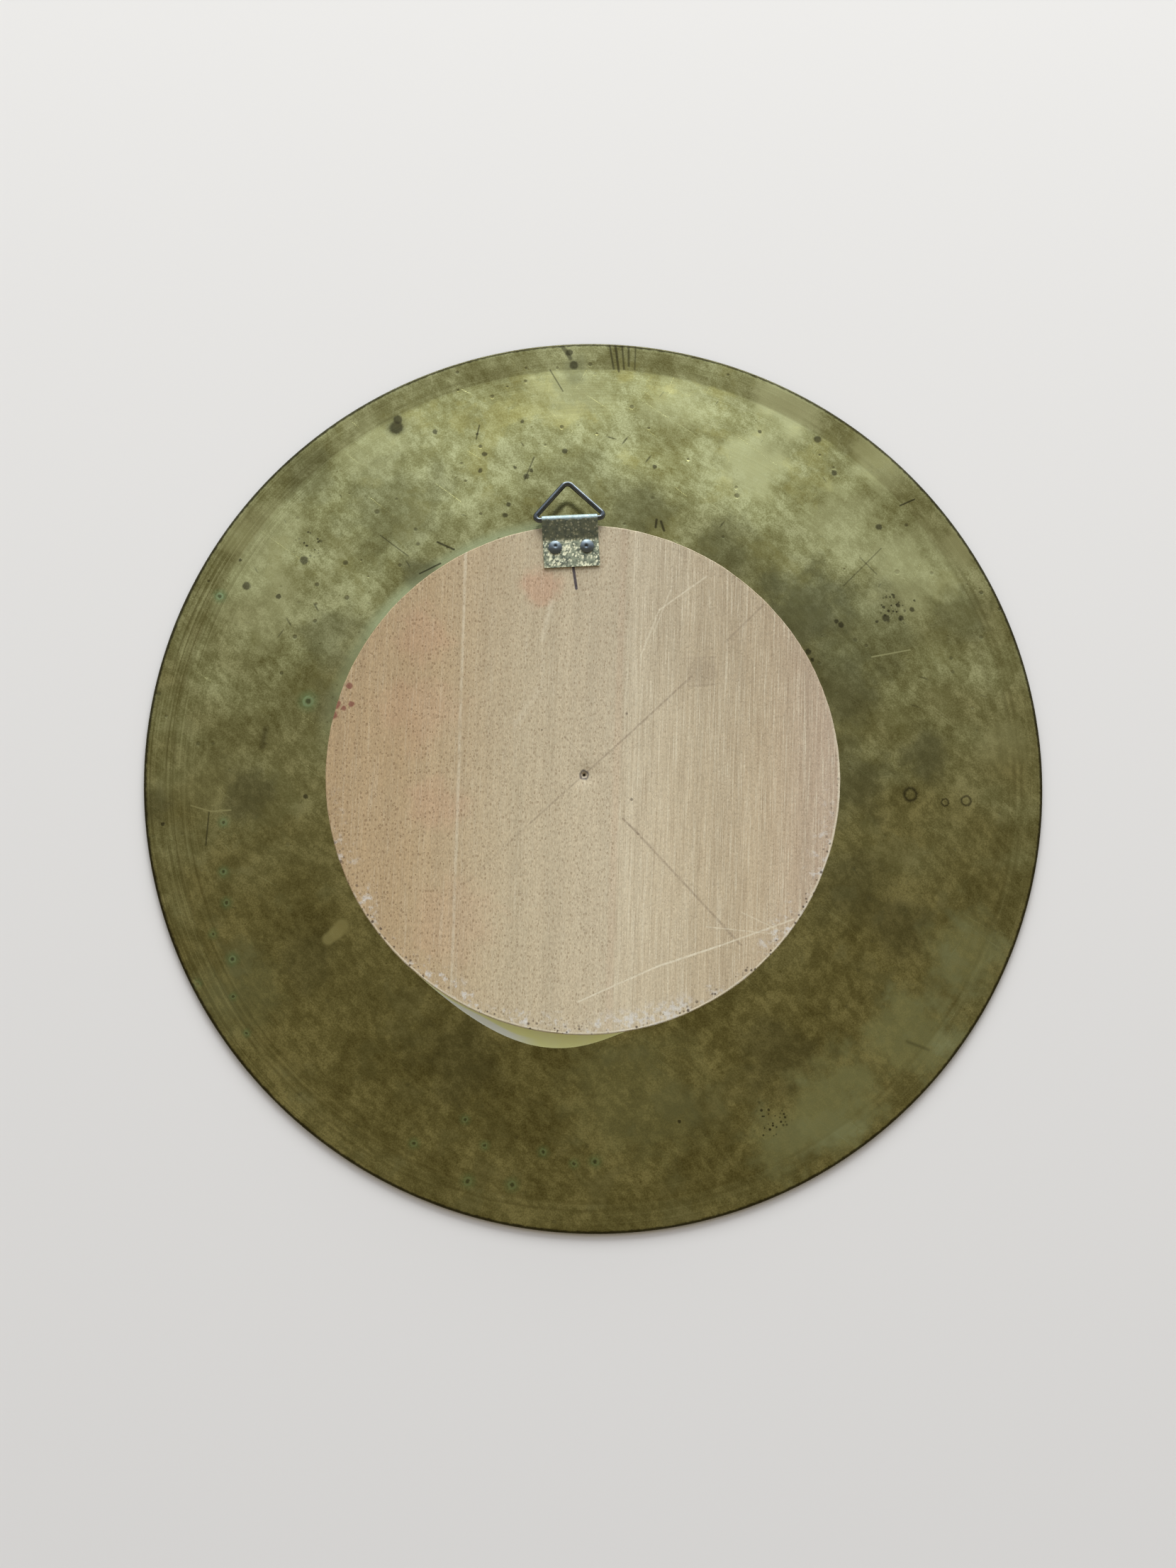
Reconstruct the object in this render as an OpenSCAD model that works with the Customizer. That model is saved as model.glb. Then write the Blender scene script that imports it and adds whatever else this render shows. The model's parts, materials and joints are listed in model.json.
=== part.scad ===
// Paten plate: a shallow spun brass plate, seen from its back, with a wooden backing disc
// glued on and a folded strap hanger with a triangular wire ring pinned to the disc.
// Units are millimetres. The plate lies face down on z = 0 with its axis on the Z axis,
// and +Y runs from the middle of the backing disc towards the hanging ring.

/* [Plate] */
// Outside diameter of the brass plate
plate_d = 228.6; // [220:0.2:240]
// Thickness of the brass sheet
sheet_t = 1.2; // [0.8:0.1:1.6]
// Width of the level rim round the outside
rim_w = 6.7; // [4:0.1:10]
// Slope of the dished wall, in degrees
wall_slope = 7; // [5:0.5:9]
// Radius of the level middle of the plate
flat_r = 60; // [50:1:62]
// Width over which the level middle bends into the wall
bend_w = 18; // [10:1:22]
// Radius of the hollow where the wall meets the rim, on the back
rim_hollow_r = 6; // [2:0.5:10]
// Radius of the eased outer edge
edge_r = 0.4; // [0.2:0.05:0.4]

/* [Face lines] */
// Radius of the turned line in the level middle of the face
inner_line_r = 54; // [45:1:58]
// Radius of the turned line on the wall of the face
outer_line_r = 101; // [90:1:103]
// Depth of each turned line
line_depth = 0.2; // [0.1:0.05:0.3]
// Width of each turned line
line_w = 0.7; // [0.4:0.1:1]

/* [Backing disc] */
// Diameter of the wooden disc
disc_d = 127.8; // [124:0.1:130]
// Thickness of the wooden disc
disc_t = 6.35; // [6:0.05:8]
// How far the disc is glued to the right of the plate's axis
disc_off_x = -3.8; // [-4:0.1:4]
// How far the disc is glued above the plate's axis
disc_off_y = -1.8; // [-2:0.1:2]
// Easing of the disc's two edges
disc_arris = 0.35; // [0.2:0.05:0.6]
// Diameter of the centre prick
prick_d = 0.6; // [0.4:0.1:1]
// Diameter of the dimple round the centre prick
dimple_d = 2.2; // [1.5:0.1:3]

/* [Glue] */
// Thickness of the glue between brass and wood
glue_t = 0.25; // [0.1:0.05:0.5]
// Greatest width of the glue squeezed out along the disc's edge
squeeze_w = 4; // [2:0.5:5]
// Greatest height of the squeezed-out glue up the side of the disc
squeeze_h = 1.5; // [0.8:0.1:2.5]
// Direction from the disc's middle where the squeezed-out glue starts, in degrees
squeeze_start = -137; // [-150:1:-130]
// Angle round the disc's edge that the squeezed-out glue covers
squeeze_sweep = 56; // [40:1:70]

/* [Strap] */
// Width of the folded strap
strap_w = 14.1; // [13:0.1:15]
// Length of the strap from the top of its fold to its end
strap_len = 13.25; // [12.8:0.05:14]
// Thickness of the strap's sheet
strap_t = 0.25; // [0.2:0.05:0.35]
// How much shorter the leaf against the wood is
short_leaf = 0.6; // [0:0.1:1]
// Gap round the ring's bar inside the fold
fold_gap = 0.05; // [0.03:0.01:0.1]
// How far the middle of the fold stands out past the disc's edge
fold_out = 1.3; // [1.1:0.05:1.6]
// Length of the strap that is nailed down level
level_len = 7; // [6.9:0.05:7.4]

/* [Ring] */
// Diameter of the ring's wire
wire_d = 1.4; // [1.2:0.05:1.6]
// Half of the ring's base, between its sharp corners
ring_half_base = 9.6; // [9.5:0.1:10]
// Angle between the ring's base and its arms, in degrees
arm_angle = 47; // [45:0.5:50]
// Bend radius of the two lower corners, on the wire's centre line
corner_r = 0.9; // [0.85:0.05:1]
// Bend radius at the top, on the wire's centre line
apex_r = 1.5; // [1:0.05:2]
// How far the ring droops towards the brass, in degrees
droop = 7; // [0:1:12]
// Gap between the two ends of the wire, inside the fold
seam_gap = 0.3; // [0.2:0.1:0.6]

/* [Nails] */
// Distance between the two nails
nail_pitch = 8.05; // [7.5:0.05:8.5]
// Distance from the strap's end to the nails
nail_from_end = 5.1; // [5:0.1:5.3]
// Diameter of the nail heads
head_d = 3.4; // [2.8:0.1:3.6]
// Height of the nail heads at their middle
head_h = 0.8; // [0.6:0.05:1]
// Thickness of the nail heads at their edge
head_edge = 0.35; // [0.2:0.05:0.5]
// Diameter of the nail shanks
shank_d = 1.4; // [1.2:0.05:1.6]
// Depth of the nails in the wood
nail_depth = 5.4; // [4:0.1:5.6]
// Length of the nails' points
point_len = 1.5; // [1:0.1:2]

/* [Hidden] */

eps = 0.01;
let_in = 0.03;

// Plate: radii and heights along its back
rim_in_r = plate_d / 2 - rim_w;
bend_r = bend_w / sin(wall_slope);
wall_in_r = flat_r + bend_w;
wall_out_r = rim_in_r - rim_hollow_r * sin(wall_slope);
wall_out_z = sheet_t + rim_hollow_r * (1 - cos(wall_slope));
wall_in_z = wall_out_z + (wall_out_r - wall_in_r) * tan(wall_slope);
back_z = wall_in_z + bend_r * (1 - cos(wall_slope));
face_z = back_z - sheet_t;

// Stack of the pieces above the plate
disc_r = disc_d / 2;
disc_z = back_z + glue_t;
disc_top_z = disc_z + disc_t;

// Fold of the strap, which is also the ring's hinge
fold_in_r = wire_d / 2 + fold_gap;
fold_out_r = fold_in_r + strap_t;
hinge_y = disc_off_y + disc_r + fold_out;
hinge_z = disc_top_z + fold_out_r;
strap_end_y = hinge_y + fold_out_r - strap_len;
level_end_y = strap_end_y + level_len;
seat_z = disc_top_z + 2 * strap_t;
nail_y = strap_end_y + nail_from_end;

// The upper leaf rises from its level part to touch the fold on its middle radius
fold_mid_r = (fold_in_r + fold_out_r) / 2;
rise_run = hinge_y - level_end_y;
rise_drop = hinge_z - (seat_z - strap_t / 2);
rise_angle = atan2(rise_drop, rise_run) + asin(fold_mid_r / norm([rise_run, rise_drop]));

// Ring: corners of its centre line, with the base along X and the arms towards +Y
arm_x = ring_half_base - corner_r / tan(arm_angle / 2);
apex_y = ring_half_base * tan(arm_angle) - apex_r / cos(arm_angle);
arm_len = norm([arm_x + corner_r * sin(arm_angle) - apex_r * sin(arm_angle),
                apex_y + apex_r * cos(arm_angle) - corner_r * (1 + cos(arm_angle))]);

// Points on an arc about c, from angle a0 to a1, in n steps
function arc_points(c, r, a0, a1, n) =
    [for (i = [0 : n]) let (a = a0 + (a1 - a0) * i / n) c + r * [cos(a), sin(a)]];

// Height of the plate's back at radius r, from its level middle to its wall
function back_height(r) =
    r <= flat_r ? back_z :
    r <= wall_in_r ? back_z - bend_r + sqrt(bend_r ^ 2 - (r - flat_r) ^ 2) :
    wall_in_z - (r - wall_in_r) * tan(wall_slope);

// Height of the plate's face on its wall at radius r
function face_height(r) = back_height(r) - sheet_t / cos(wall_slope);

// Width of the squeezed-out glue, as a share of its greatest width, at share s of its sweep
function squeeze_share(s) = pow(sin(180 * pow(s, 1.45)), 1.2);

// The back of the plate as an outline, from the axis to the outer edge
function back_outline() = concat(
    [[0, back_z]],
    arc_points([flat_r, back_z - bend_r], bend_r, 90, 90 - wall_slope, 8),
    arc_points([rim_in_r, sheet_t + rim_hollow_r], rim_hollow_r, 270 - wall_slope, 270, 5),
    arc_points([plate_d / 2 - edge_r, sheet_t - edge_r], edge_r, 90, 0, 4));

// The face of the plate as an outline, from the outer edge back to the axis
function face_outline() = concat(
    arc_points([plate_d / 2 - edge_r, edge_r], edge_r, 0, -90, 4),
    arc_points([rim_in_r, sheet_t + rim_hollow_r], rim_hollow_r + sheet_t, 270, 270 - wall_slope, 5),
    [[outer_line_r + line_w / 2, face_height(outer_line_r + line_w / 2)],
     [outer_line_r, face_height(outer_line_r) + line_depth],
     [outer_line_r - line_w / 2, face_height(outer_line_r - line_w / 2)]],
    arc_points([flat_r, back_z - bend_r], bend_r - sheet_t, 90 - wall_slope, 90, 8),
    [[inner_line_r + line_w / 2, face_z],
     [inner_line_r, face_z + line_depth],
     [inner_line_r - line_w / 2, face_z],
     [0, face_z]]);

// Moves its children to the middle of the backing disc
module on_disc() {
    translate([disc_off_x, disc_off_y, 0]) children();
}

// Everything below the back of the plate, out to the wall
module below_back() {
    rotate_extrude($fn = 180)
        polygon(concat(
            [[0, back_z]],
            arc_points([flat_r, back_z - bend_r], bend_r, 90, 90 - wall_slope, 8),
            [[wall_in_r, 0], [0, 0]]));
}

module paten_plate() {
    color("#8f8a52")
        rotate_extrude($fn = 180)
            polygon(concat(back_outline(), face_outline()));
}

module glue_bed() {
    color("#c9c58a")
        difference() {
            on_disc() translate([0, 0, face_z]) cylinder(h = disc_z - face_z, r = disc_r, $fn = 180);
            below_back();
        }
}

// Squeezed-out glue: a low fillet between the disc's side and the brass, widest off centre
module glue_squeeze_out() {
    steps = 44;
    tip = 0.02;
    wall_r = disc_r + eps;
    sections = [for (i = [0 : steps])
        let (s = tip + (1 - 2 * tip) * i / steps,
             a = squeeze_start + squeeze_sweep * s,
             w = squeeze_w * squeeze_share(s),
             h = squeeze_h * sqrt(squeeze_share(s)))
        [for (p = [[0, 0], [w, 0], [0.9 * w, 0.16 * h], [0.62 * w, 0.38 * h],
                   [0.28 * w, 0.66 * h], [0, h]])
            let (x = disc_off_x + (wall_r + p[0]) * cos(a),
                 y = disc_off_y + (wall_r + p[0]) * sin(a))
            [x, y, back_height(norm([x, y])) + eps + p[1]]]];
    n = len(sections[0]);
    sides = [for (i = [0 : steps - 1], j = [0 : n - 1])
        [i * n + j, i * n + (j + 1) % n, (i + 1) * n + (j + 1) % n, (i + 1) * n + j]];
    start_cap = [[for (j = [n - 1 : -1 : 0]) j]];
    end_cap = [[for (j = [0 : n - 1]) steps * n + j]];
    color("#b9b873")
        polyhedron(points = [for (ring = sections, p = ring) p],
                   faces = concat(sides, start_cap, end_cap), convexity = 4);
}

// The hole that a nail has made, which is the shape of its shank and point
module shank(depth) {
    rotate_extrude($fn = 48)
        polygon([[0, 0], [shank_d / 2, 0], [shank_d / 2, -depth + point_len], [0, -depth]]);
}

module at_nail(side) {
    translate([disc_off_x + side * nail_pitch / 2, nail_y, 0]) children();
}

module backing_disc() {
    color("#bda882")
        difference() {
            on_disc() rotate_extrude($fn = 180)
                polygon([[0, disc_z], [disc_r - disc_arris, disc_z], [disc_r, disc_z + disc_arris],
                         [disc_r, disc_top_z - disc_arris], [disc_r - disc_arris, disc_top_z],
                         [dimple_d / 2, disc_top_z], [prick_d / 2, disc_top_z - 0.5],
                         [prick_d / 2, disc_top_z - 1.8], [0, disc_top_z - 2.1]]);
            for (side = [-1, 1])
                at_nail(side) translate([0, 0, disc_top_z]) shank(nail_depth);
        }
}

// Side view of the strap: Y runs across the page and Z up it
module strap_side() {
    under_y = strap_end_y + short_leaf;
    across = [-sin(rise_angle), cos(rise_angle)];
    hinge = [hinge_y, hinge_z];
    knee = [level_end_y, seat_z - strap_t / 2];
    difference() {
        polygon(concat(
            [[under_y, disc_top_z], [under_y, disc_top_z + strap_t],
             [strap_end_y, disc_top_z + strap_t], [strap_end_y, seat_z], [level_end_y, seat_z],
             hinge + fold_out_r * across],
            arc_points(hinge, fold_out_r, 88 + rise_angle, -90, 40)));
        polygon(concat(
            [knee - [0, strap_t / 2], hinge + fold_in_r * across],
            arc_points(hinge, fold_in_r, 88 + rise_angle, -90, 40)));
    }
}

module hanger_strap() {
    hole_d = shank_d + 0.1;
    color("#8d8f7c")
        difference() {
            translate([disc_off_x - strap_w / 2, 0, 0])
                rotate([90, 0, 90]) linear_extrude(height = strap_w) strap_side();
            for (side = [-1, 1])
                at_nail(side) translate([0, 0, disc_top_z - 1]) cylinder(h = 3, d = hole_d, $fn = 48);
        }
}

// A bend of the wire: r is its radius on the centre line, about the Z axis
module wire_bend(r, from, sweep) {
    rotate([0, 0, from])
        rotate_extrude(angle = sweep, $fn = 96) translate([r, 0]) circle(d = wire_d, $fn = 48);
}

// A straight run, a hair thinner than the bends and let into them, so that they join cleanly
module wire_run(from, toward, length) {
    translate(from) rotate([0, 0, toward]) rotate([0, 90, 0])
        translate([0, 0, -let_in]) cylinder(h = length + 2 * let_in, d = wire_d - 0.01, $fn = 48);
}

// The ring lying level, with the middle of its base at the origin
module level_ring() {
    for (side = [0, 1]) mirror([side, 0, 0]) {
        wire_run([seam_gap / 2 + let_in, 0, 0], 0, arm_x - seam_gap / 2 - let_in);
        translate([arm_x, corner_r, 0]) wire_bend(corner_r, -90, 180 - arm_angle);
        wire_run([arm_x + corner_r * sin(arm_angle), corner_r * (1 + cos(arm_angle)), 0],
                 180 - arm_angle, arm_len);
    }
    translate([0, apex_y, 0]) wire_bend(apex_r, 90 - arm_angle, 2 * arm_angle);
}

module hanging_ring() {
    color("#b9bdc0")
        translate([disc_off_x, hinge_y, hinge_z]) rotate([-droop, 0, 0]) level_ring();
}

module nail(side) {
    dome_r = ((head_d / 2) ^ 2 + (head_h - head_edge) ^ 2) / (2 * (head_h - head_edge));
    dome_angle = asin(head_d / 2 / dome_r);
    color("#9aa0aa")
        at_nail(side) {
            translate([0, 0, seat_z]) rotate_extrude($fn = 64)
                polygon(concat(
                    [[0, 0], [head_d / 2 - 0.1, 0], [head_d / 2, 0.1]],
                    arc_points([0, head_h - dome_r], dome_r, 90 - dome_angle, 90, 8)));
            translate([0, 0, disc_top_z]) cylinder(h = 2 * strap_t + eps, d = shank_d, $fn = 48);
            translate([0, 0, disc_top_z]) shank(nail_depth);
        }
}

module nail_left() { nail(-1); }
module nail_right() { nail(1); }

paten_plate();
glue_bed();
glue_squeeze_out();
backing_disc();
hanger_strap();
hanging_ring();
nail_left();
nail_right();
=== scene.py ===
"""Looks of the paten plate: the finished surface and the finish of every piece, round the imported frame.

Lengths are in metres. The plate lies face down with its back up, and +Y runs from the
middle of the wooden disc towards the hanging ring. Patterns are laid out in millimetres.
"""

from __future__ import annotations

import functools
import json
import logging
import math
from collections.abc import Callable, Sequence
from dataclasses import dataclass, field
from enum import Enum

import bpy
import numpy as np
from mathutils import Matrix, Vector

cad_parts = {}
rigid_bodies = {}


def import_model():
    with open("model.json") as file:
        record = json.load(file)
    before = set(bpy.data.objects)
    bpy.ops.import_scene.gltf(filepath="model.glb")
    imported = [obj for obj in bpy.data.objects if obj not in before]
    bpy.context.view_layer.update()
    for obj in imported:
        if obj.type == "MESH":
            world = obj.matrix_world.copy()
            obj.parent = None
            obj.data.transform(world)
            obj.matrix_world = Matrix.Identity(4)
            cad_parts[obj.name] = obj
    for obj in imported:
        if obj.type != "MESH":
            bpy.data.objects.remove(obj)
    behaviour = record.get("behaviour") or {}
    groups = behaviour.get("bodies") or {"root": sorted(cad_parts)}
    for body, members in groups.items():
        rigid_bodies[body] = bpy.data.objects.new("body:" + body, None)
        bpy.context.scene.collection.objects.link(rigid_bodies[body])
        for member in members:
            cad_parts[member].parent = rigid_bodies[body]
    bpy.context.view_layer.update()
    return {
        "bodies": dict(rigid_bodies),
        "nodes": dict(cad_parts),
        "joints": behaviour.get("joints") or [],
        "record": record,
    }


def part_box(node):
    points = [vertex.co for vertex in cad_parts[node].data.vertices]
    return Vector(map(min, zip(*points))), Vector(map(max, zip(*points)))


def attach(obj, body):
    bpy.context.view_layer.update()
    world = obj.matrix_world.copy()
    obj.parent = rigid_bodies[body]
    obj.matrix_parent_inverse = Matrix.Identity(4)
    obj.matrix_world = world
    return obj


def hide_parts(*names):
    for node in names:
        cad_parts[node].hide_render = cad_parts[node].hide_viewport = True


LOG = logging.getLogger("paten_plate")
MM = 0.001

Colour = tuple[float, float, float]
Point2 = tuple[float, float]
Point3 = tuple[float, float, float]
Rows = tuple[tuple[float, ...], ...]
Box = tuple[Vector, Vector]
Socket = bpy.types.NodeSocket
Warp = Callable[[np.ndarray], np.ndarray]

ORIGIN = (0.0, 0.0, 0.0)
FLAT = (1.0, 1.0, 0.0)
# faces that meet at more than this many degrees keep a sharp edge
SHARP_ANGLE = 32.0
# where the middle of the wooden disc lies from the plate's, in millimetres
DISC_MIDDLE = (-3.8, -1.8)
# where the dent in each nail's head lies from its middle, in millimetres
NAIL_DENTS = {"nail_left": (0.1, 0.25), "nail_right": (-0.2, -0.1)}


class Body(Enum):
    """The two rigid bodies of the frame."""

    PLATE = "plate"
    RING = "ring"


class Channel(Enum):
    """What an input or output of a shared effect carries."""

    VALUE = "NodeSocketFloat"
    VECTOR = "NodeSocketVector"


def srgb(red: float, green: float, blue: float) -> Colour:
    """Turns a colour written from 0 to 255 into the linear values that shaders take.

    Args:
        red: red part, 0 to 255.
        green: green part, 0 to 255.
        blue: blue part, 0 to 255.

    Returns:
        The three linear parts.
    """
    parts = np.array([red, green, blue]) / 255.0
    linear = np.where(parts <= 0.04045, parts / 12.92, ((parts + 0.055) / 1.055) ** 2.4)
    return tuple(float(v) for v in linear)


# ---------------------------------------------------------------- surfaces


def arc(centre: Point2, radius: float, start: float, end: float, count: int) -> np.ndarray:
    """Points on a circle: centre + radius * (cos, sin) of angles spaced evenly from start to end.

    Args:
        centre: middle of the circle.
        radius: its radius.
        start: first angle in degrees.
        end: last angle in degrees.
        count: number of points.

    Returns:
        An array of count points.
    """
    angle = np.radians(np.linspace(start, end, count))
    return np.array(centre) + radius * np.stack([np.cos(angle), np.sin(angle)], axis=1)


def run(start: Point2, end: Point2, count: int) -> np.ndarray:
    """Points spaced evenly from start up to, but without, end."""
    share = np.linspace(0.0, 1.0, count, endpoint=False)[:, None]
    return np.array(start) * (1.0 - share) + np.array(end) * share


def grid_quads(rows: int, cols: int) -> np.ndarray:
    """Quads that join each point (i, j) of a grid of closed rows to (i, j+1), (i+1, j+1) and (i+1, j).

    Args:
        rows: number of rows.
        cols: number of points in a row.

    Returns:
        An integer array with four corners a line.
    """
    i, j = np.meshgrid(np.arange(rows - 1), np.arange(cols), indexing="ij")
    row, below, after = i * cols, (i + 1) * cols, (j + 1) % cols
    return np.stack([row + j, row + after, below + after, below + j], axis=-1).reshape(-1, 4)


def fan(pole: int, ring: np.ndarray) -> np.ndarray:
    """Triangles from one pole to each pair of neighbours on a closed ring."""
    return np.stack([np.full(len(ring), pole), ring, np.roll(ring, -1)], axis=1)


def link(name: str, data: bpy.types.ID) -> bpy.types.Object:
    """Puts a new object in the scene."""
    thing = bpy.data.objects.new(name, data)
    bpy.context.scene.collection.objects.link(thing)
    return thing


def make_piece(name: str, points: np.ndarray, quads: np.ndarray, tris: np.ndarray) -> bpy.types.Object:
    """Makes a mesh object whose faces point outwards.

    The signed volume, the sum over triangles of a . (b x c) / 6, is negative when the faces
    point inwards, and then each face's order is turned round.

    Args:
        name: the piece's name.
        points: corner points in metres.
        quads: four-cornered faces.
        tris: three-cornered faces.

    Returns:
        The object, at the origin.
    """
    halves = np.concatenate([quads[:, [0, 1, 2]], quads[:, [0, 2, 3]], tris])
    a, b, c = (points[halves[:, k]] for k in range(3))
    if np.einsum("ij,ij->i", a, np.cross(b, c)).sum() < 0:
        quads, tris = quads[:, ::-1], tris[:, ::-1]
    mesh = bpy.data.meshes.new(name)
    mesh.from_pydata(points.tolist(), [], quads.tolist() + tris.tolist())
    mesh.polygons.foreach_set("use_smooth", np.ones(len(mesh.polygons), dtype=bool))
    mesh.set_sharp_from_angle(angle=math.radians(SHARP_ANGLE))
    mesh.validate()
    mesh.update()
    return link(name, mesh)


def close_skin(name: str, points: np.ndarray, rows: int, cols: int) -> bpy.types.Object:
    """Joins closed rows of points to a skin and fills each end from its pole.

    Args:
        name: the piece's name.
        points: the rows' points in order, then the first end's pole and the last end's.
        rows: number of rows.
        cols: number of points in a row.

    Returns:
        The object.
    """
    count = rows * cols
    first, last = np.arange(cols), np.arange(count - cols, count)
    tris = np.concatenate([fan(count, first[::-1]), fan(count + 1, last)])
    return make_piece(name, points, grid_quads(rows, cols), tris)


def revolve(
    name: str, profile: np.ndarray, centre: Point2, turns: int, warp: Warp | None = None
) -> bpy.types.Object:
    """A closed turned shape: (x, y, z) = (cx + r cos a, cy + r sin a, z) over profile (r, z) and angle a.

    Args:
        name: the piece's name.
        profile: points (r, z) from the axis round to the axis again.
        centre: where the axis stands.
        turns: number of steps round the axis.
        warp: moves the finished points, if given.

    Returns:
        The object.
    """
    angle = np.linspace(0.0, 2.0 * np.pi, turns, endpoint=False)
    rings = profile[1:-1]
    x = centre[0] + rings[:, :1] * np.cos(angle)
    y = centre[1] + rings[:, :1] * np.sin(angle)
    z = np.repeat(rings[:, 1:], turns, axis=1)
    poles = np.array([[*centre, profile[0, 1]], [*centre, profile[-1, 1]]])
    points = np.concatenate([np.stack([x, y, z], axis=-1).reshape(-1, 3), poles])
    return close_skin(name, warp(points) if warp else points, len(rings), turns)


def sweep(name: str, sections: np.ndarray) -> bpy.types.Object:
    """A closed skin over a row of closed sections, with each end filled from its mean point.

    Args:
        name: the piece's name.
        sections: an array (sections, points in a section, 3).

    Returns:
        The object.
    """
    rows, cols = sections.shape[:2]
    poles = sections[[0, -1]].mean(axis=1)
    return close_skin(name, np.concatenate([sections.reshape(-1, 3), poles]), rows, cols)


def soft_noise(seed: int, waves: int, lowest: int) -> Callable[[np.ndarray], np.ndarray]:
    """A smooth closed wobble of an angle: a sum of cosines with falling heights and random phases.

    Args:
        seed: the random start, fixed so each run is the same.
        waves: number of cosines.
        lowest: fewest waves round the circle.

    Returns:
        A function from angles to values that are mostly between -1 and 1 and now and then near 2.
    """
    draw = np.random.default_rng(seed)
    order = np.arange(lowest, lowest + waves)
    phase = draw.uniform(0.0, 2.0 * np.pi, waves)
    height = draw.uniform(0.4, 1.0, waves) / np.sqrt(np.arange(1, waves + 1))
    height = height / np.sqrt((height**2).sum())

    def wobble(angle: np.ndarray) -> np.ndarray:
        """Adds up the cosines at each angle."""
        return (np.cos(angle[..., None] * order + phase) * height).sum(-1)

    return wobble


# ---------------------------------------------------------------- shader wiring


@dataclass(frozen=True)
class Signal:
    """One output of a node, which plain arithmetic joins to further maths nodes."""

    w: Wiring
    socket: Socket

    def __add__(self, other: Feed) -> Signal:
        """The sum of this and another."""
        return self.w.math("ADD", self, other)

    def __radd__(self, other: Feed) -> Signal:
        """The sum of a number and this."""
        return self.w.math("ADD", other, self)

    def __sub__(self, other: Feed) -> Signal:
        """This less another."""
        return self.w.math("SUBTRACT", self, other)

    def __rsub__(self, other: Feed) -> Signal:
        """A number less this."""
        return self.w.math("SUBTRACT", other, self)

    def __mul__(self, other: Feed) -> Signal:
        """This times another."""
        return self.w.math("MULTIPLY", self, other)

    def __truediv__(self, other: Feed) -> Signal:
        """This over another."""
        return self.w.math("DIVIDE", self, other)

    def __rtruediv__(self, other: Feed) -> Signal:
        """A number over this."""
        return self.w.math("DIVIDE", other, self)

    def __abs__(self) -> Signal:
        """This without its sign."""
        return self.w.math("ABSOLUTE", self)

    def clamped(self) -> Signal:
        """The same sum or product, kept within 0 and 1."""
        self.socket.node.use_clamp = True
        return self


Feed = Signal | float | Sequence[float]
Inputs = dict[str | int, Feed]


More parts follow.
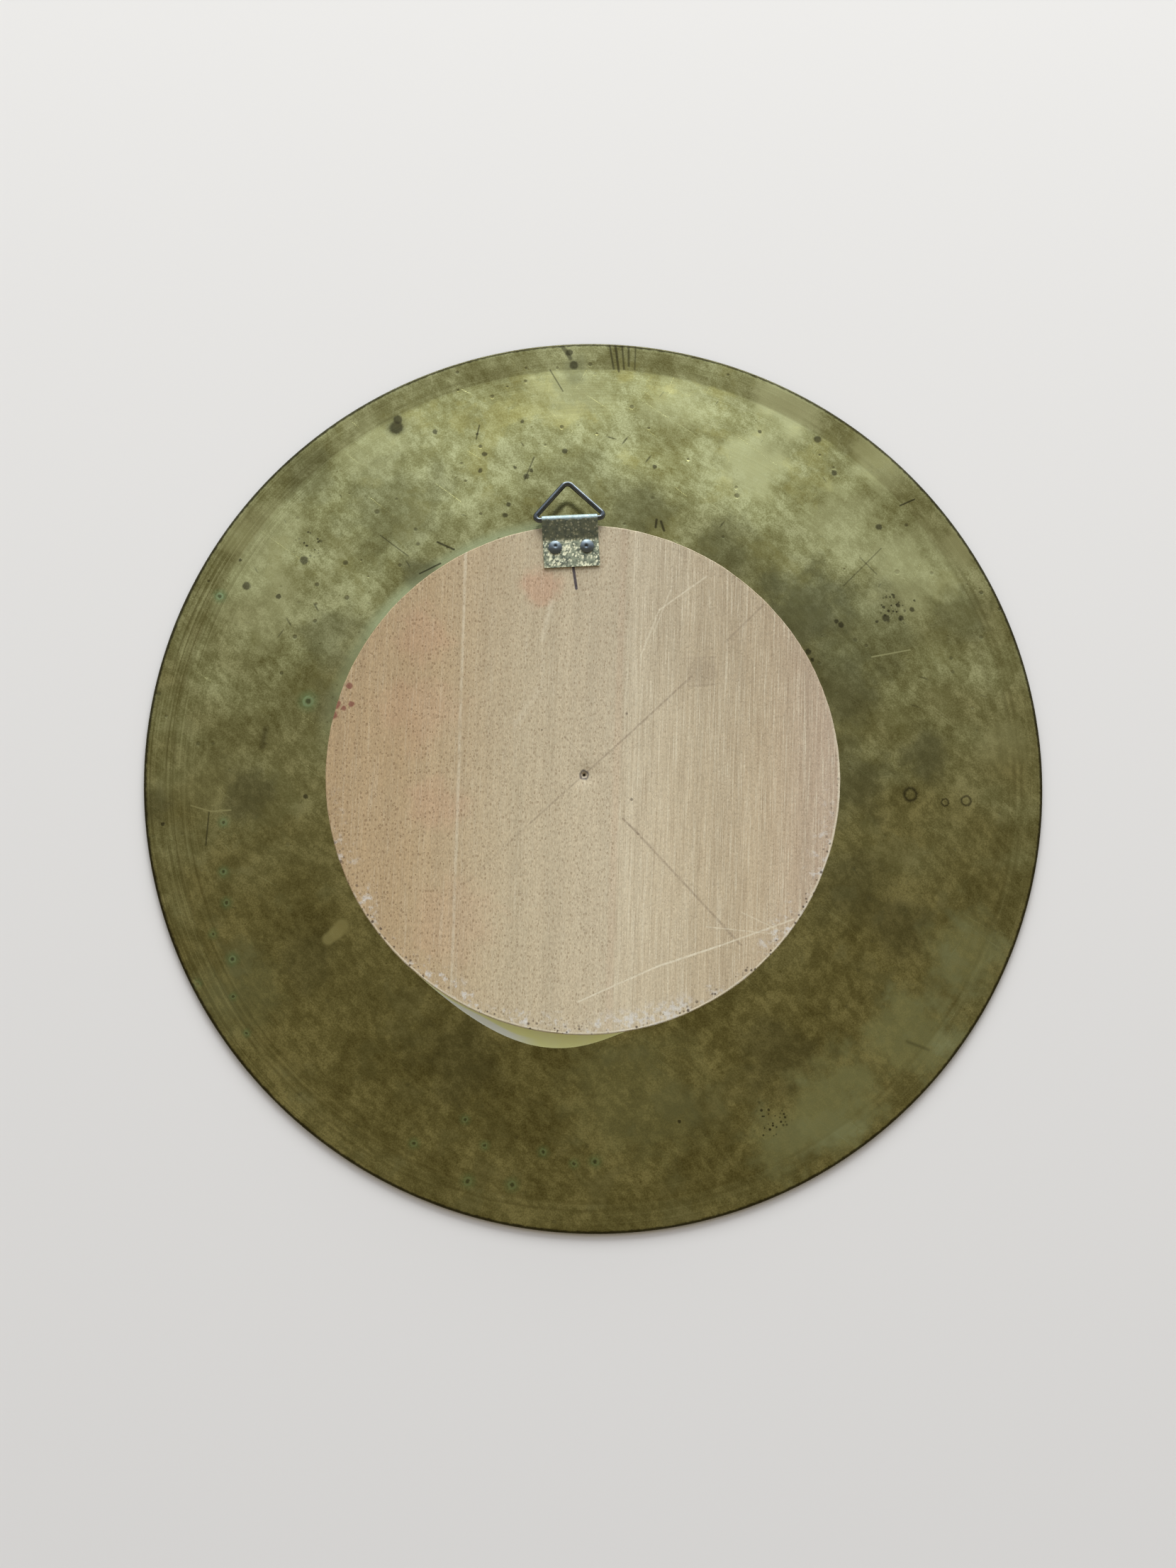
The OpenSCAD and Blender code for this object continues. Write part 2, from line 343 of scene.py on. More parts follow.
@dataclass(frozen=True)
class Wiring:
    """Places and joins the nodes of one tree."""

    tree: bpy.types.NodeTree

    def feed(self, socket: Socket, value: Feed) -> None:
        """Joins a signal to a socket or writes a plain value in it, and gives a plain colour its alpha.

        Args:
            socket: the input.
            value: what goes in it.
        """
        if isinstance(value, Signal):
            self.tree.links.new(value.socket, socket)
        elif socket.type == "RGBA":
            socket.default_value = (*value, 1.0)
        else:
            socket.default_value = value

    def add(self, kind: str, inputs: Inputs | None = None, **settings: object) -> bpy.types.Node:
        """Adds a node.

        Args:
            kind: the node's type, without the "ShaderNode" it begins with.
            inputs: what goes in each named or numbered input.
            **settings: the node's own settings.

        Returns:
            The node.
        """
        node = self.tree.nodes.new("ShaderNode" + kind)
        for key, value in settings.items():
            setattr(node, key, value)
        for key, value in (inputs or {}).items():
            self.feed(node.inputs[key], value)
        return node

    def take(self, output: str | int, kind: str, inputs: Inputs | None = None, **choices: object) -> Signal:
        """Adds a node and gives one of its outputs, by name or number."""
        return Signal(self, self.add(kind, inputs, **choices).outputs[output])

    def math(self, operation: str, first: Feed, second: Feed = 0.0) -> Signal:
        """One operation on two values."""
        return self.take(0, "Math", {0: first, 1: second}, operation=operation)

    def larger(self, *values: Feed) -> Signal:
        """The largest of the values, taken in order."""
        return functools.reduce(lambda first, second: self.math("MAXIMUM", first, second), values)

    def vector(self, operation: str, first: Feed, second: Feed = ORIGIN) -> Signal:
        """One operation on two vectors that gives a vector."""
        return self.take("Vector", "VectorMath", {0: first, 1: second}, operation=operation)

    def measure(self, operation: str, first: Feed, second: Feed = ORIGIN) -> Signal:
        """One operation on two vectors that gives a number."""
        return self.take("Value", "VectorMath", {0: first, 1: second}, operation=operation)

    def scale(self, vector: Feed, factor: Feed) -> Signal:
        """A vector times one factor."""
        return self.take("Vector", "VectorMath", {0: vector, "Scale": factor}, operation="SCALE")

    def stretch(self, vector: Feed, *factors: float) -> Signal:
        """A vector with each part multiplied by its own factor."""
        return self.vector("MULTIPLY", vector, factors)

    def parts(self, vector: Feed) -> list[Signal]:
        """The three parts of a vector."""
        return [Signal(self, socket) for socket in self.add("SeparateXYZ", {0: vector}).outputs]

    def flat_offset(self, place: Feed, middle: Feed) -> Signal:
        """The step from a middle to a place, with its height left out."""
        return self.stretch(self.vector("SUBTRACT", place, middle), *FLAT)

    def fade(self, value: Feed, low: Feed, high: Feed) -> Signal:
        """0 up to low, 1 from high on and smooth between; where low is the larger, the other way round.

        Args:
            value: what is compared.
            low: where the result is 0.
            high: where it is 1.

        Returns:
            The result.
        """
        falls = isinstance(low, float) and low > high
        start, end = (high, low) if falls else (low, high)
        limits = {"From Min": start, "From Max": end, "To Min": float(falls), "To Max": float(not falls)}
        return self.take(0, "MapRange", {"Value": value, **limits}, interpolation_type="SMOOTHSTEP")

    def noise(
        self, place: Feed, scale: Feed, detail: float = 3.0, roughness: float = 0.55, warp: float = 0.0
    ) -> Signal:
        """Smooth noise of about 0 to 1, with a number of finer layers and their strength."""
        inputs = {"Vector": place, "Scale": scale, "Detail": detail, "Roughness": roughness}
        return self.take("Fac", "TexNoise", {**inputs, "Distortion": warp})

    def ramp(self, value: Feed, stops: Sequence[tuple[float, Colour]]) -> Signal:
        """A colour looked up along a row of colours.

        Args:
            value: where in the row, from 0 to 1.
            stops: the place and the colour of each stop.

        Returns:
            The colour.
        """
        node = self.add("ValToRGB", {0: value})
        row = node.color_ramp
        while len(row.elements) < len(stops):
            row.elements.new(0.5)
        for element, (place, colour) in zip(row.elements, stops):
            element.position = place
            element.color = (*colour, 1.0)
        return Signal(self, node.outputs["Color"])

    def mix(self, share: Feed, first: Feed, second: Feed, blend: str = "MIX") -> Signal:
        """A share of the second colour laid over the first."""
        return self.take(2, "Mix", {0: share, 6: first, 7: second}, data_type="RGBA", blend_type=blend)

    def shade(self, colour: Feed, share: Feed, dark: float, light: float) -> Signal:
        """A colour made darker where share is 0 and lighter where it is 1."""
        factor = self.take(0, "MapRange", {"Value": share, "To Min": dark, "To Max": light})
        return self.mix(1.0, colour, factor, "MULTIPLY")

    def group(self, effect: Effect, *values: Feed) -> list[Signal]:
        """Places a shared effect with this finish's own values, given in the order of its inputs."""
        node = self.add("Group", dict(enumerate(values)), node_tree=effect.tree())
        return [Signal(self, socket) for socket in node.outputs]


@dataclass
class Effect:
    """A shared effect: a node group that is built once, the first time it's placed."""

    name: str
    points: tuple[str, ...]
    numbers: tuple[str, ...]
    outputs: tuple[str, ...]
    build: Callable[..., tuple[Signal, ...]]
    made: list[bpy.types.NodeTree] = field(default_factory=list)

    def tree(self) -> bpy.types.NodeTree:
        """The group's tree, made if it isn't there yet.

        Returns:
            The tree.
        """
        if not self.made:
            tree = bpy.data.node_groups.new(self.name, "ShaderNodeTree")
            for name in self.points:
                tree.interface.new_socket(name, in_out="INPUT", socket_type=Channel.VECTOR.value)
            for name in self.numbers:
                tree.interface.new_socket(name, in_out="INPUT", socket_type=Channel.VALUE.value)
            for name in self.outputs:
                tree.interface.new_socket(name, in_out="OUTPUT", socket_type=Channel.VALUE.value)
            w = Wiring(tree)
            entry, leave = tree.nodes.new("NodeGroupInput"), tree.nodes.new("NodeGroupOutput")
            given = [Signal(w, entry.outputs[name]) for name in self.points + self.numbers]
            for name, signal in zip(self.outputs, self.build(w, *given)):
                w.feed(leave.inputs[name], signal)
            self.made.append(tree)
        return self.made[0]


def build_patches(w: Wiring, place: Signal, size: Signal, low: Signal, high: Signal) -> tuple[Signal, ...]:
    """Cloudy patches of about a size: noise with fine detail, faded between two thresholds."""
    return (w.fade(w.noise(place, 1.0 / size, 6.0, 0.62), low, high),)


def build_specks(
    w: Wiring, place: Signal, spacing: Signal, reach: Signal, share: Signal
) -> tuple[Signal, ...]:
    """Scattered specks: a cell's middle shows where its own random number is under the share asked for.

    Args:
        w: the group's wiring.
        place: where they are read.
        spacing: the size of a cell.
        reach: about half a speck's width, as a share of a cell.
        share: the share of cells that have one.

    Returns:
        The mask.
    """
    cells = w.add("TexVoronoi", {"Vector": place, "Scale": 1.0 / spacing, "Randomness": 1.0})
    chance = w.add("SeparateColor", {0: Signal(w, cells.outputs["Color"])})
    own_reach = reach * (0.5 + Signal(w, chance.outputs[1]))
    near = (1.0 - Signal(w, cells.outputs["Distance"]) / own_reach).clamped()
    shown = w.math("LESS_THAN", Signal(w, chance.outputs[0]), share)
    return ((near * 2.5).clamped() * shown,)


def build_spot(w: Wiring, place: Signal, middle: Signal, radius: Signal) -> tuple[Signal, ...]:
    """A round mark with a slightly ragged outline: a dot, a thin ring and a soft halo round a given middle.

    Args:
        w: the group's wiring.
        place: where it is read.
        middle: its middle.
        radius: the ring's radius.

    Returns:
        The dot, the ring and the halo.
    """
    drift = w.take("Color", "TexNoise", {"Vector": place, "Scale": 1.3, "Detail": 2.0})
    ragged = w.vector("ADD", place, w.scale(drift, 0.7))
    # the noise averages a half, so the middle moves by half its reach
    moved = w.vector("ADD", middle, (0.35, 0.35, 0.35))
    away = w.measure("LENGTH", w.flat_offset(ragged, moved)) / radius
    ring = (1.0 - abs(away - 1.0) * 2.4).clamped()
    return w.fade(away, 0.7, 0.4), ring, w.fade(away, 3.4, 0.8)


def build_zone(w: Wiring, place: Signal, middle: Signal, radius: Signal) -> tuple[Signal, ...]:
    """A broad ragged patch: the distance from a middle, disturbed by noise, faded out at the radius.

    Args:
        w: the group's wiring.
        place: where it is read.
        middle: its middle.
        radius: how far it reaches.

    Returns:
        The mask.
    """
    drift = w.take("Color", "TexNoise", {"Vector": place, "Scale": 0.13, "Detail": 5.0, "Roughness": 0.6})
    shift = w.scale(w.vector("SUBTRACT", drift, (0.5, 0.5, 0.5)), radius * 1.7)
    away = w.measure("LENGTH", w.flat_offset(w.vector("ADD", place, shift), middle)) / radius
    return (w.fade(away, 1.0, 0.35),)


def build_stroke(
    w: Wiring, place: Signal, start: Signal, end: Signal, width: Signal, soft: Signal
) -> tuple[Signal, ...]:
    """A straight stroke: the distance from a point to the nearest point of the line from start to end.

    Args:
        w: the group's wiring.
        place: where it is read.
        start: one end of the line.
        end: its other end.
        width: how wide the stroke is.
        soft: how soft its edge is, as a share of the width.

    Returns:
        The mask.
    """
    offset = w.flat_offset(place, start)
    along = w.flat_offset(end, start)
    share = (w.measure("DOT_PRODUCT", offset, along) / w.measure("DOT_PRODUCT", along, along)).clamped()
    away = w.measure("LENGTH", w.vector("SUBTRACT", offset, w.scale(along, share)))
    return (((0.5 - away / width) / soft + 0.5).clamped(),)


def build_scratches(w: Wiring, place: Signal, thin: Signal) -> tuple[Signal, ...]:
    """Fine scratches: where stretched noise is in a thin band round its middle, shown here and there."""
    line = (1.0 - abs(w.noise(place, 1.0, 1.0, warp=0.3) - 0.5) / thin).clamped()
    return (line * w.fade(w.noise(place, 2.3, 2.0), 0.52, 0.66),)


def build_turned(w: Wiring, place: Signal, pitch: Signal) -> tuple[Signal, ...]:
    """Turned lines: noise of the distance from the axis, drawn out a long way round it.

    Args:
        w: the group's wiring.
        place: where they are read.
        pitch: about how far apart the lines are.

    Returns:
        The distance from the axis and the lines.
    """
    flat = w.stretch(place, *FLAT)
    radius = w.measure("LENGTH", flat)
    across, up, _ = w.parts(w.vector("NORMALIZE", flat))
    drawn = w.take(0, "CombineXYZ", {0: radius / pitch, 1: across * 1.6, 2: up * 1.6})
    return radius, w.noise(drawn, 1.0, 2.0, 0.7)


PATCHES = Effect("cloudy_patches", ("Place",), ("Size", "From", "To"), ("Mask",), build_patches)
SPECKS = Effect("scattered_specks", ("Place",), ("Spacing", "Reach", "Share"), ("Mask",), build_specks)
SPOT = Effect("round_mark", ("Place", "Middle"), ("Radius",), ("Dot", "Ring", "Halo"), build_spot)
ZONE = Effect("broad_zone", ("Place", "Middle"), ("Radius",), ("Mask",), build_zone)
STROKE = Effect("stroke", ("Place", "Start", "End"), ("Width", "Soft"), ("Mask",), build_stroke)
SCRATCHES = Effect("fine_scratches", ("Place",), ("Thin",), ("Mask",), build_scratches)
TURNED = Effect("turned_lines", ("Place",), ("Pitch",), ("Radius", "Lines"), build_turned)


@dataclass
class Finish:
    """A material in the making: its wiring, its place in millimetres and its shader."""

    name: str
    material: bpy.types.Material = field(init=False)
    w: Wiring = field(init=False)
    shader: bpy.types.Node = field(init=False)
    place: Signal = field(init=False)

    def __post_init__(self) -> None:
        """Makes the material with one Principled shader and its place read from the object."""
        self.material = bpy.data.materials.new(self.name)
        self.material.use_nodes = True
        self.w = Wiring(self.material.node_tree)
        self.w.tree.nodes.clear()
        self.shader = self.w.add("BsdfPrincipled")
        self.w.add("OutputMaterial", {"Surface": Signal(self.w, self.shader.outputs[0])})
        self.place = self.w.stretch(self.w.take("Object", "TexCoord"), 1.0 / MM, 1.0 / MM, 1.0 / MM)

    def set(self, **inputs: Feed) -> None:
        """Feeds the shader's inputs, with an underscore for each blank in a name."""
        for name, value in inputs.items():
            self.w.feed(self.shader.inputs[name.replace("_", " ")], value)

    def bump(self, height: Feed, depth: float, onto: Signal | None = None) -> Signal:
        """Raises the surface by height times depth, in metres, on top of an earlier bump."""
        earlier = {} if onto is None else {"Normal": onto}
        return self.w.take(0, "Bump", {"Height": height, "Distance": depth, "Strength": 1.0, **earlier})

    def tint(self, colour: Feed, mask: Signal, strength: float, tone: Feed) -> Signal:
        """Lays a tone over a colour, by a mask times a strength."""
        return self.w.mix(mask * strength, colour, tone)

    def patches(self, size: float, low: float, high: float, place: Signal | None = None) -> Signal:
        """Cloudy patches of about a size, between two thresholds of their noise."""
        return self.w.group(PATCHES, place or self.place, size, low, high)[0]

    def specks(self, spacing: float, reach: float, share: float, place: Signal | None = None) -> Signal:
        """Specks in a share of the cells of a given spacing."""
        return self.w.group(SPECKS, place or self.place, spacing, reach, share)[0]

    def scratches(self, thin: float, place: Signal) -> Signal:
        """Fine scratches along the least stretched way of a place."""
        return self.w.group(SCRATCHES, place, thin)[0]

    def spot(self, x: float, y: float, radius: float) -> list[Signal]:
        """The dot, the ring and the halo of a round mark."""
        return self.w.group(SPOT, self.place, (x, y, 0.0), radius)

    def turned_by(self, angle: float, *stretch: float) -> Signal:
        """The place, turned about Z by an angle in radians and then stretched."""
        inputs = {"Vector": self.place, "Angle": angle}
        return self.w.stretch(self.w.take(0, "VectorRotate", inputs, rotation_type="Z_AXIS"), *stretch)

    def distance(self, middle: Point2) -> Signal:
        """The distance from an upright axis through a point, in millimetres."""
        return self.w.measure("LENGTH", self.w.flat_offset(self.place, (*middle, 0.0)))


@dataclass(frozen=True)
class Stroke:
    """One straight mark: its two ends and width in millimetres, its strength and how soft its edge is."""

    x1: float
    y1: float
    x2: float
    y2: float
    width: float
    strength: float
    soft: float = 0.45

    def mask(self, f: Finish) -> Signal:
        """Where the mark lies, from 0 to its strength."""
        ends = (self.x1, self.y1, 0.0), (self.x2, self.y2, 0.0)
        return f.w.group(STROKE, f.place, *ends, self.width, self.soft)[0] * self.strength


@dataclass(frozen=True)
class Zone:
    """One broad patch: its middle and radius in millimetres and its strength."""

    x: float
    y: float
    radius: float
    strength: float

    def mask(self, f: Finish) -> Signal:
        """Where the patch lies, from 0 to its strength."""
        return f.w.group(ZONE, f.place, (self.x, self.y, 0.0), self.radius)[0] * self.strength


def lay(f: Finish, colour: Feed, kind: type[Stroke] | type[Zone], rows: Rows, tone: Colour) -> Feed:
    """Lays marks of one kind and tone over a colour.

    Args:
        f: the finish.
        colour: the colour beneath.
        kind: what each mark is.
        rows: the marks' numbers, in the order of the kind's fields.
        tone: the marks' tone.

    Returns:
        The colour with the marks on it.
    """
    for row in rows:
        colour = f.w.mix(kind(*row).mask(f), colour, tone)
    return colour


@dataclass(frozen=True)
class BrassFinish:
    """Dull, tarnished brass: blotched patina, turned lines and marks, with painted shade in the crease and
    a dark outer edge of dirt and painted shade.
    """

    light: Colour = srgb(186, 184, 130)
    middle: Colour = srgb(142, 139, 90)
    dark: Colour = srgb(103, 97, 53)
    pale: Colour = srgb(180, 190, 142)
    dark_patch_and_shade_tone: Colour = srgb(88, 88, 60)
    dirt: Colour = srgb(46, 42, 28)
    green: Colour = srgb(112, 144, 96)
    verdigris: Colour = srgb(152, 174, 126)
    flake: Colour = srgb(182, 180, 126)
    # the green spots and the dark dots are laid this many times as large as they are written
    green_size: float = 0.85
    dot_size: float = 1.5
    # (x, y, radius) of the green spots, in millimetres
    green_spots: Rows = (
        (-94.3, -7.6, 0.8), (-94.8, -20.0, 0.8), (-94.3, -27.8, 0.8), (-97.9, -35.4, 0.7),
        (-93.3, -41.9, 0.9), (-93.5, -51.1, 0.6), (-90.5, -60.3, 0.6), (-102.2, -47.5, 0.7),
        (-71.9, 21.6, 1.3), (-93.8, 50.8, 0.9), (-50.4, -89.5, 0.8), (-37.6, -84.4, 0.7),
        (-33.1, -91.0, 0.7), (-37.7, -99.4, 1.0), (-26.9, -101.0, 1.0), (-18.8, -93.4, 0.8),
        (-11.4, -96.7, 0.7), (-6.2, -96.5, 0.9),
    )
    # (x, y, radius) of the dark dots
    dark_dots: Rows = (
        (76.5, 36.1, 1.2), (80.5, 36.0, 0.9), (80.0, 39.5, 0.7), (83.6, 38.2, 0.8), (76.1, 39.0, 0.5),
        (73.9, 35.2, 0.5), (84.4, 40.6, 0.4), (79.0, 42.2, 0.5), (64.5, 34.6, 0.9), (63.3, 35.5, 0.7),
        (55.4, 27.8, 1.0), (56.3, 25.8, 0.6), (19.4, 78.9, 0.7), (47.7, 87.9, 0.6), (-46.9, 93.4, 2.1),
        (-46.4, 95.6, 1.4), (-36.9, 91.6, 0.8), (-25.7, 80.1, 0.7), (-24.4, 84.6, 0.8),
        (-26.0, 90.3, 0.5), (-16.7, 80.4, 0.5), (-12.5, 79.4, 0.6), (-14.2, 93.2, 0.6),
        (-13.9, 77.7, 0.9), (-3.6, 84.3, 0.9), (-18.9, 70.3, 0.7), (-19.9, 67.5, 0.8),
        (-78.6, 49.6, 0.8), (-86.8, 53.0, 1.3), (-71.8, 58.8, 1.3), (15.1, -88.0, 0.5),
        (-109.7, -7.1, 0.6), (-73.4, -2.6, 0.7), (-0.8, 111.9, 1.1), (0.2, 108.4, 1.4),
        (62.9, 85.3, 1.2), (66.4, 75.9, 0.9), (76.9, 60.7, 1.0), (-88.3, 60.0, 0.5),
    )
    # (x, y, radius) of the dark rings
    dark_rings: Rows = ((78.9, -10.0, 1.6), (87.8, -12.3, 0.9), (93.4, -12.1, 1.2))
    # (x, y, radius, strength) of the broad light patches, of the dark patches and of the clusters of small
    # dots
    light_zones: Rows = (
        (45.0, 79.0, 13.0, 0.6), (26.0, 96.0, 11.0, 0.25), (89.0, -50.0, 14.0, 0.4),
        (75.0, -70.0, 15.0, 0.5), (55.0, -86.0, 16.0, 0.55), (41.0, -94.0, 12.0, 0.45),
        (-82.0, 66.0, 14.0, 0.3), (66.0, 62.0, 14.0, 0.3), (4.0, -82.0, 24.0, 0.2),
        # the light patches at (100, 57), (79, 80) and (57, 96) are a painted reflection on the rim
        (84.0, 48.0, 16.0, 0.4), (100.0, 57.0, 9.5, 0.55), (79.0, 80.0, 11.0, 0.45),
        (57.0, 96.0, 12.0, 0.7), (-54.0, 88.0, 11.0, 0.3), (-84.0, 48.0, 14.0, 0.3),
        (-92.0, -50.0, 15.0, 0.2), (-99.0, 2.0, 12.0, 0.12), (0.0, 101.0, 12.0, 0.35),
        (104.0, 2.0, 9.0, 0.25),
    )
    dark_patches_and_rim_shade: Rows = (
        (54.0, 38.0, 17.0, 0.6), (63.5, 17.6, 14.0, 0.5), (37.0, 55.0, 12.0, 0.4),
        (14.9, 67.1, 10.0, 0.4), (64.0, -6.0, 14.0, 0.45), (-47.0, 94.0, 4.0, 0.5),
        (-42.4, 53.1, 6.0, 0.5), (60.0, -33.0, 14.0, 0.35), (0.6, 107.0, 5.0, 0.35),
        (-87.0, 0.0, 10.0, 0.45), (97.0, 36.0, 10.0, 0.3), (-70.0, 82.0, 10.0, 0.3),
        (-48.0, 70.0, 18.0, 0.3), (70.0, 34.0, 18.0, 0.3), (84.0, 0.0, 9.0, 0.5),
        (2.0, 75.0, 11.0, 0.12), (73.0, -43.0, 11.0, 0.45), (40.0, -73.0, 13.0, 0.45),
        (-39.0, -69.0, 15.0, 0.4), (-66.5, 20.5, 7.0, 0.35), (-66.0, 38.0, 11.0, 0.35),
        # the dark patch at (-113, -2) is painted shade on the rim
        (-74.0, -43.0, 10.0, 0.3), (-113.0, -2.0, 8.0, 0.4),
    )
    clusters: Rows = ((-70.0, 63.0, 5.5, 0.85), (37.9, -88.7, 5.5, 0.85), (78.5, 38.0, 5.5, 0.85))
    # (x, y, x, y, width, strength) of the straight marks, and for some how soft their edges are
    dark_strokes: Rows = (
        (9.9, 113.6, 10.6, 107.0, 0.5, 0.6), (11.4, 113.6, 11.9, 106.2, 0.6, 0.7),
        (13.2, 113.5, 13.3, 106.8, 0.5, 0.6), (14.9, 113.4, 14.6, 107.6, 0.6, 0.6),
        (16.8, 113.2, 16.1, 106.6, 0.4, 0.5), (-2.4, 113.6, -0.6, 110.4, 1.1, 0.6),
        (20.0, 63.9, 20.6, 61.4, 0.6, 0.8), (18.9, 64.4, 18.5, 62.4, 0.6, 0.8),
        (83.2, 66.5, 87.1, 68.0, 0.4, 0.8), (-97.9, -4.8, -99.0, -13.1, 0.35, 0.6),
        (-83.9, 10.8, -82.9, 15.2, 1.3, 0.35, 0.8), (-6.1, 107.4, -3.1, 101.2, 0.35, 0.6),
        (-33.4, 59.0, -37.5, 61.2, 0.5, 0.8), (-42.4, 53.1, -37.0, 55.5, 0.4, 0.8),
        (66.0, 44.9, 77.0, 54.9, 0.3, 0.45), (71.1, 52.5, 75.1, 47.9, 0.3, 0.45),
        (73.5, -71.8, 78.8, -74.1, 0.7, 0.35, 0.8), (-25.3, 92.7, -26.3, 88.9, 0.35, 0.7),
        (-11.6, 83.0, -14.4, 76.8, 0.4, 0.55), (-52.0, 64.0, -45.2, 58.0, 0.3, 0.55),
    )
    light_strokes: Rows = (
        (-102.4, -2.9, -97.4, -4.7, 0.35, 0.75), (-97.4, -4.7, -92.4, -4.7, 0.4, 0.8),
        (71.8, 25.9, 82.0, 27.5, 0.35, 0.6), (-69.2, -38.4, -66.9, -36.8, 2.9, 0.8, 0.25),
        (-67.2, -36.9, -65.6, -35.3, 3.3, 0.8, 0.25), (-103.1, -46.8, -101.8, -48.2, 0.9, 0.5),
    )
    # the patch round the hanger where the metal is smoothest
    polished: tuple[float, ...] = (-3.8, 74.0, 20.0, 1.0)
    # where the dark outer edge, dirt and painted shade of the gap under the rim, begins and is full, on a
    # radius that noise raises by up to 0.7
    edge: Point2 = (113.7, 114.15)
    # (radius, half width, strength) of the soft lines of painted shade in the crease
    crease_lines: Rows = ((107.6, 1.0, 0.3), (109.5, 0.7, 0.34), (104.4, 2.2, 0.12))

    def marks(self, f: Finish, colour: Signal) -> Signal:
        """Lays the zones, the spots, the dots and rings, the strokes and the clusters over the patina.

        A light zone in the plate's lower half is greener than one in its upper half. Three light zones on
        the rim are a painted reflection, and one dark zone there is painted shade.

        Args:
            f: the finish.
            colour: the patina's colour.

        Returns:
            The colour with the marks on it.
        """
        # light patches of patina, three of them a painted reflection on the rim
        for row in self.light_zones:
            zone = Zone(*row)
            colour = f.w.mix(zone.mask(f), colour, self.light if zone.y > 0.0 else self.pale)
        # dark patches, one of them painted shade on the rim
        colour = lay(f, colour, Zone, self.dark_patches_and_rim_shade, self.dark_patch_and_shade_tone)
        for x, y, radius in self.green_spots:
            dot, ring, halo = f.spot(x, y, radius * self.green_size)
            colour = f.tint(colour, halo, 0.42, self.green)
            colour = f.tint(colour, ring, 0.65, self.verdigris)
            colour = f.tint(colour, dot, 0.55, self.dirt)
        for x, y, radius in self.dark_dots:
            colour = f.tint(colour, f.spot(x, y, radius * self.dot_size)[0], 0.72, self.dirt)
        for row in self.dark_rings:
            colour = f.tint(colour, f.spot(*row)[1], 0.8, self.dirt)
        colour = lay(f, colour, Stroke, self.dark_strokes, self.dirt)
        colour = lay(f, colour, Stroke, self.light_strokes, self.flake)
        for row in self.clusters:
            colour = f.w.mix(Zone(*row).mask(f) * f.specks(0.95, 0.33, 0.75), colour, self.dirt)
        return colour

    def turned_lines(
        self, f: Finish, colour: Signal, radius: Signal, lines: Signal, blotch: Signal
    ) -> Signal:
        """Lays the turned streaks, the soft lines of painted shade in the crease and the pale band at the
        disc's upper left.

        Args:
            f: the finish.
            colour: the colour beneath.
            radius: the distance from the plate's axis.
            lines: the turned lines.
            blotch: where the painted shade in the crease is strongest.

        Returns:
            The colour with the lines on it.
        """
        w = f.w
        x, y, _ = w.parts(f.place)
        at_rim = w.fade(radius, 97.0, 107.0) * (0.12 + w.fade(x, -40.0, -100.0) * 0.4) + 0.07
        colour = w.mix(w.fade(lines, 0.53, 0.68) * at_rim, colour, self.dark)
        colour = w.mix(w.fade(lines, 0.47, 0.33) * (at_rim * 0.6), colour, self.light)
        wavy = radius + w.noise(f.place, 0.05, 2.0) * 1.2
        # painted shade in the crease, patchy where blotch is high
        for middle, half, strength in self.crease_lines:
            share = (0.2 + blotch * 1.1) * strength
            colour = w.mix(w.fade(abs(wavy - middle), half, 0.0) * share, colour, self.dark)
        upper_left = w.fade(x, 14.0, -14.0) * w.fade(y, 4.0, 30.0)
        beside_disc = w.fade(f.distance(DISC_MIDDLE), 69.0, 65.0)
        return f.tint(colour, beside_disc * upper_left, 0.75, self.pale)

    def make(self) -> bpy.types.Material:
        """Builds the material: patina, lines, specks, scratches, marks and edge, then gloss and relief.

        Returns:
            The material.
        """
        f = Finish("tarnished_brass")
        w = f.w
        radius, lines = w.group(TURNED, f.place, 0.5)
        broad = f.patches(30.0, 0.38, 0.62)
        small = f.patches(7.0, 0.42, 0.58, f.turned_by(0.6, 1.0, 0.6, 1.0))
        fine = f.patches(1.9, 0.41, 0.59, f.turned_by(-0.7, 1.0, 0.5, 1.0))
        stain = f.patches(15.0, 0.53, 0.62, w.stretch(f.place, 1.0, 1.0, 3.0))
        upper = 0.35 + w.fade(w.parts(f.place)[1], -10.0, 55.0) * 0.65
        specks = f.specks(4.4, 0.13, 0.5) * upper
        pits = f.specks(1.5, 0.17, 0.3)
        ways = [f.turned_by(angle, 1.0, 0.14, 1.0) for angle in (0.7, -0.5, 1.9)]
        cracks = w.larger(*(f.specks(2.6, 0.075, 0.16, way) for way in ways)) * upper
        one_way = f.scratches(0.005, f.turned_by(0.7, 0.02, 0.25, 0.1))
        other_way = f.scratches(0.005, f.turned_by(-1.1, 0.03, 0.3, 0.1))
        scratches = w.larger(one_way, other_way)

        tone = broad * 0.24 + small * 0.25 + fine * 0.26
        tone = tone + w.fade(w.noise(f.place, 2.6, 2.0), 0.4, 0.6) * 0.25
        colour = w.ramp(tone, [(0.0, self.dark), (0.5, self.middle), (1.0, self.light)])
        colour = f.tint(colour, stain, 0.38, self.dark)
        colour = self.turned_lines(f, colour, radius, lines, small)
        colour = f.tint(colour, specks, 0.6, self.dirt)
        colour = f.tint(colour, pits, 0.5, self.dark)
        colour = f.tint(colour, cracks, 0.6, self.dirt)
        colour = f.tint(colour, scratches, 0.16, self.light)
        colour = self.marks(f, colour)
        # dark outer edge: dirt and painted shade of the gap under the rim
        ragged = radius + w.noise(f.place, 0.8) * 0.7
        colour = f.tint(colour, w.fade(ragged, *self.edge), 0.88, self.dirt)

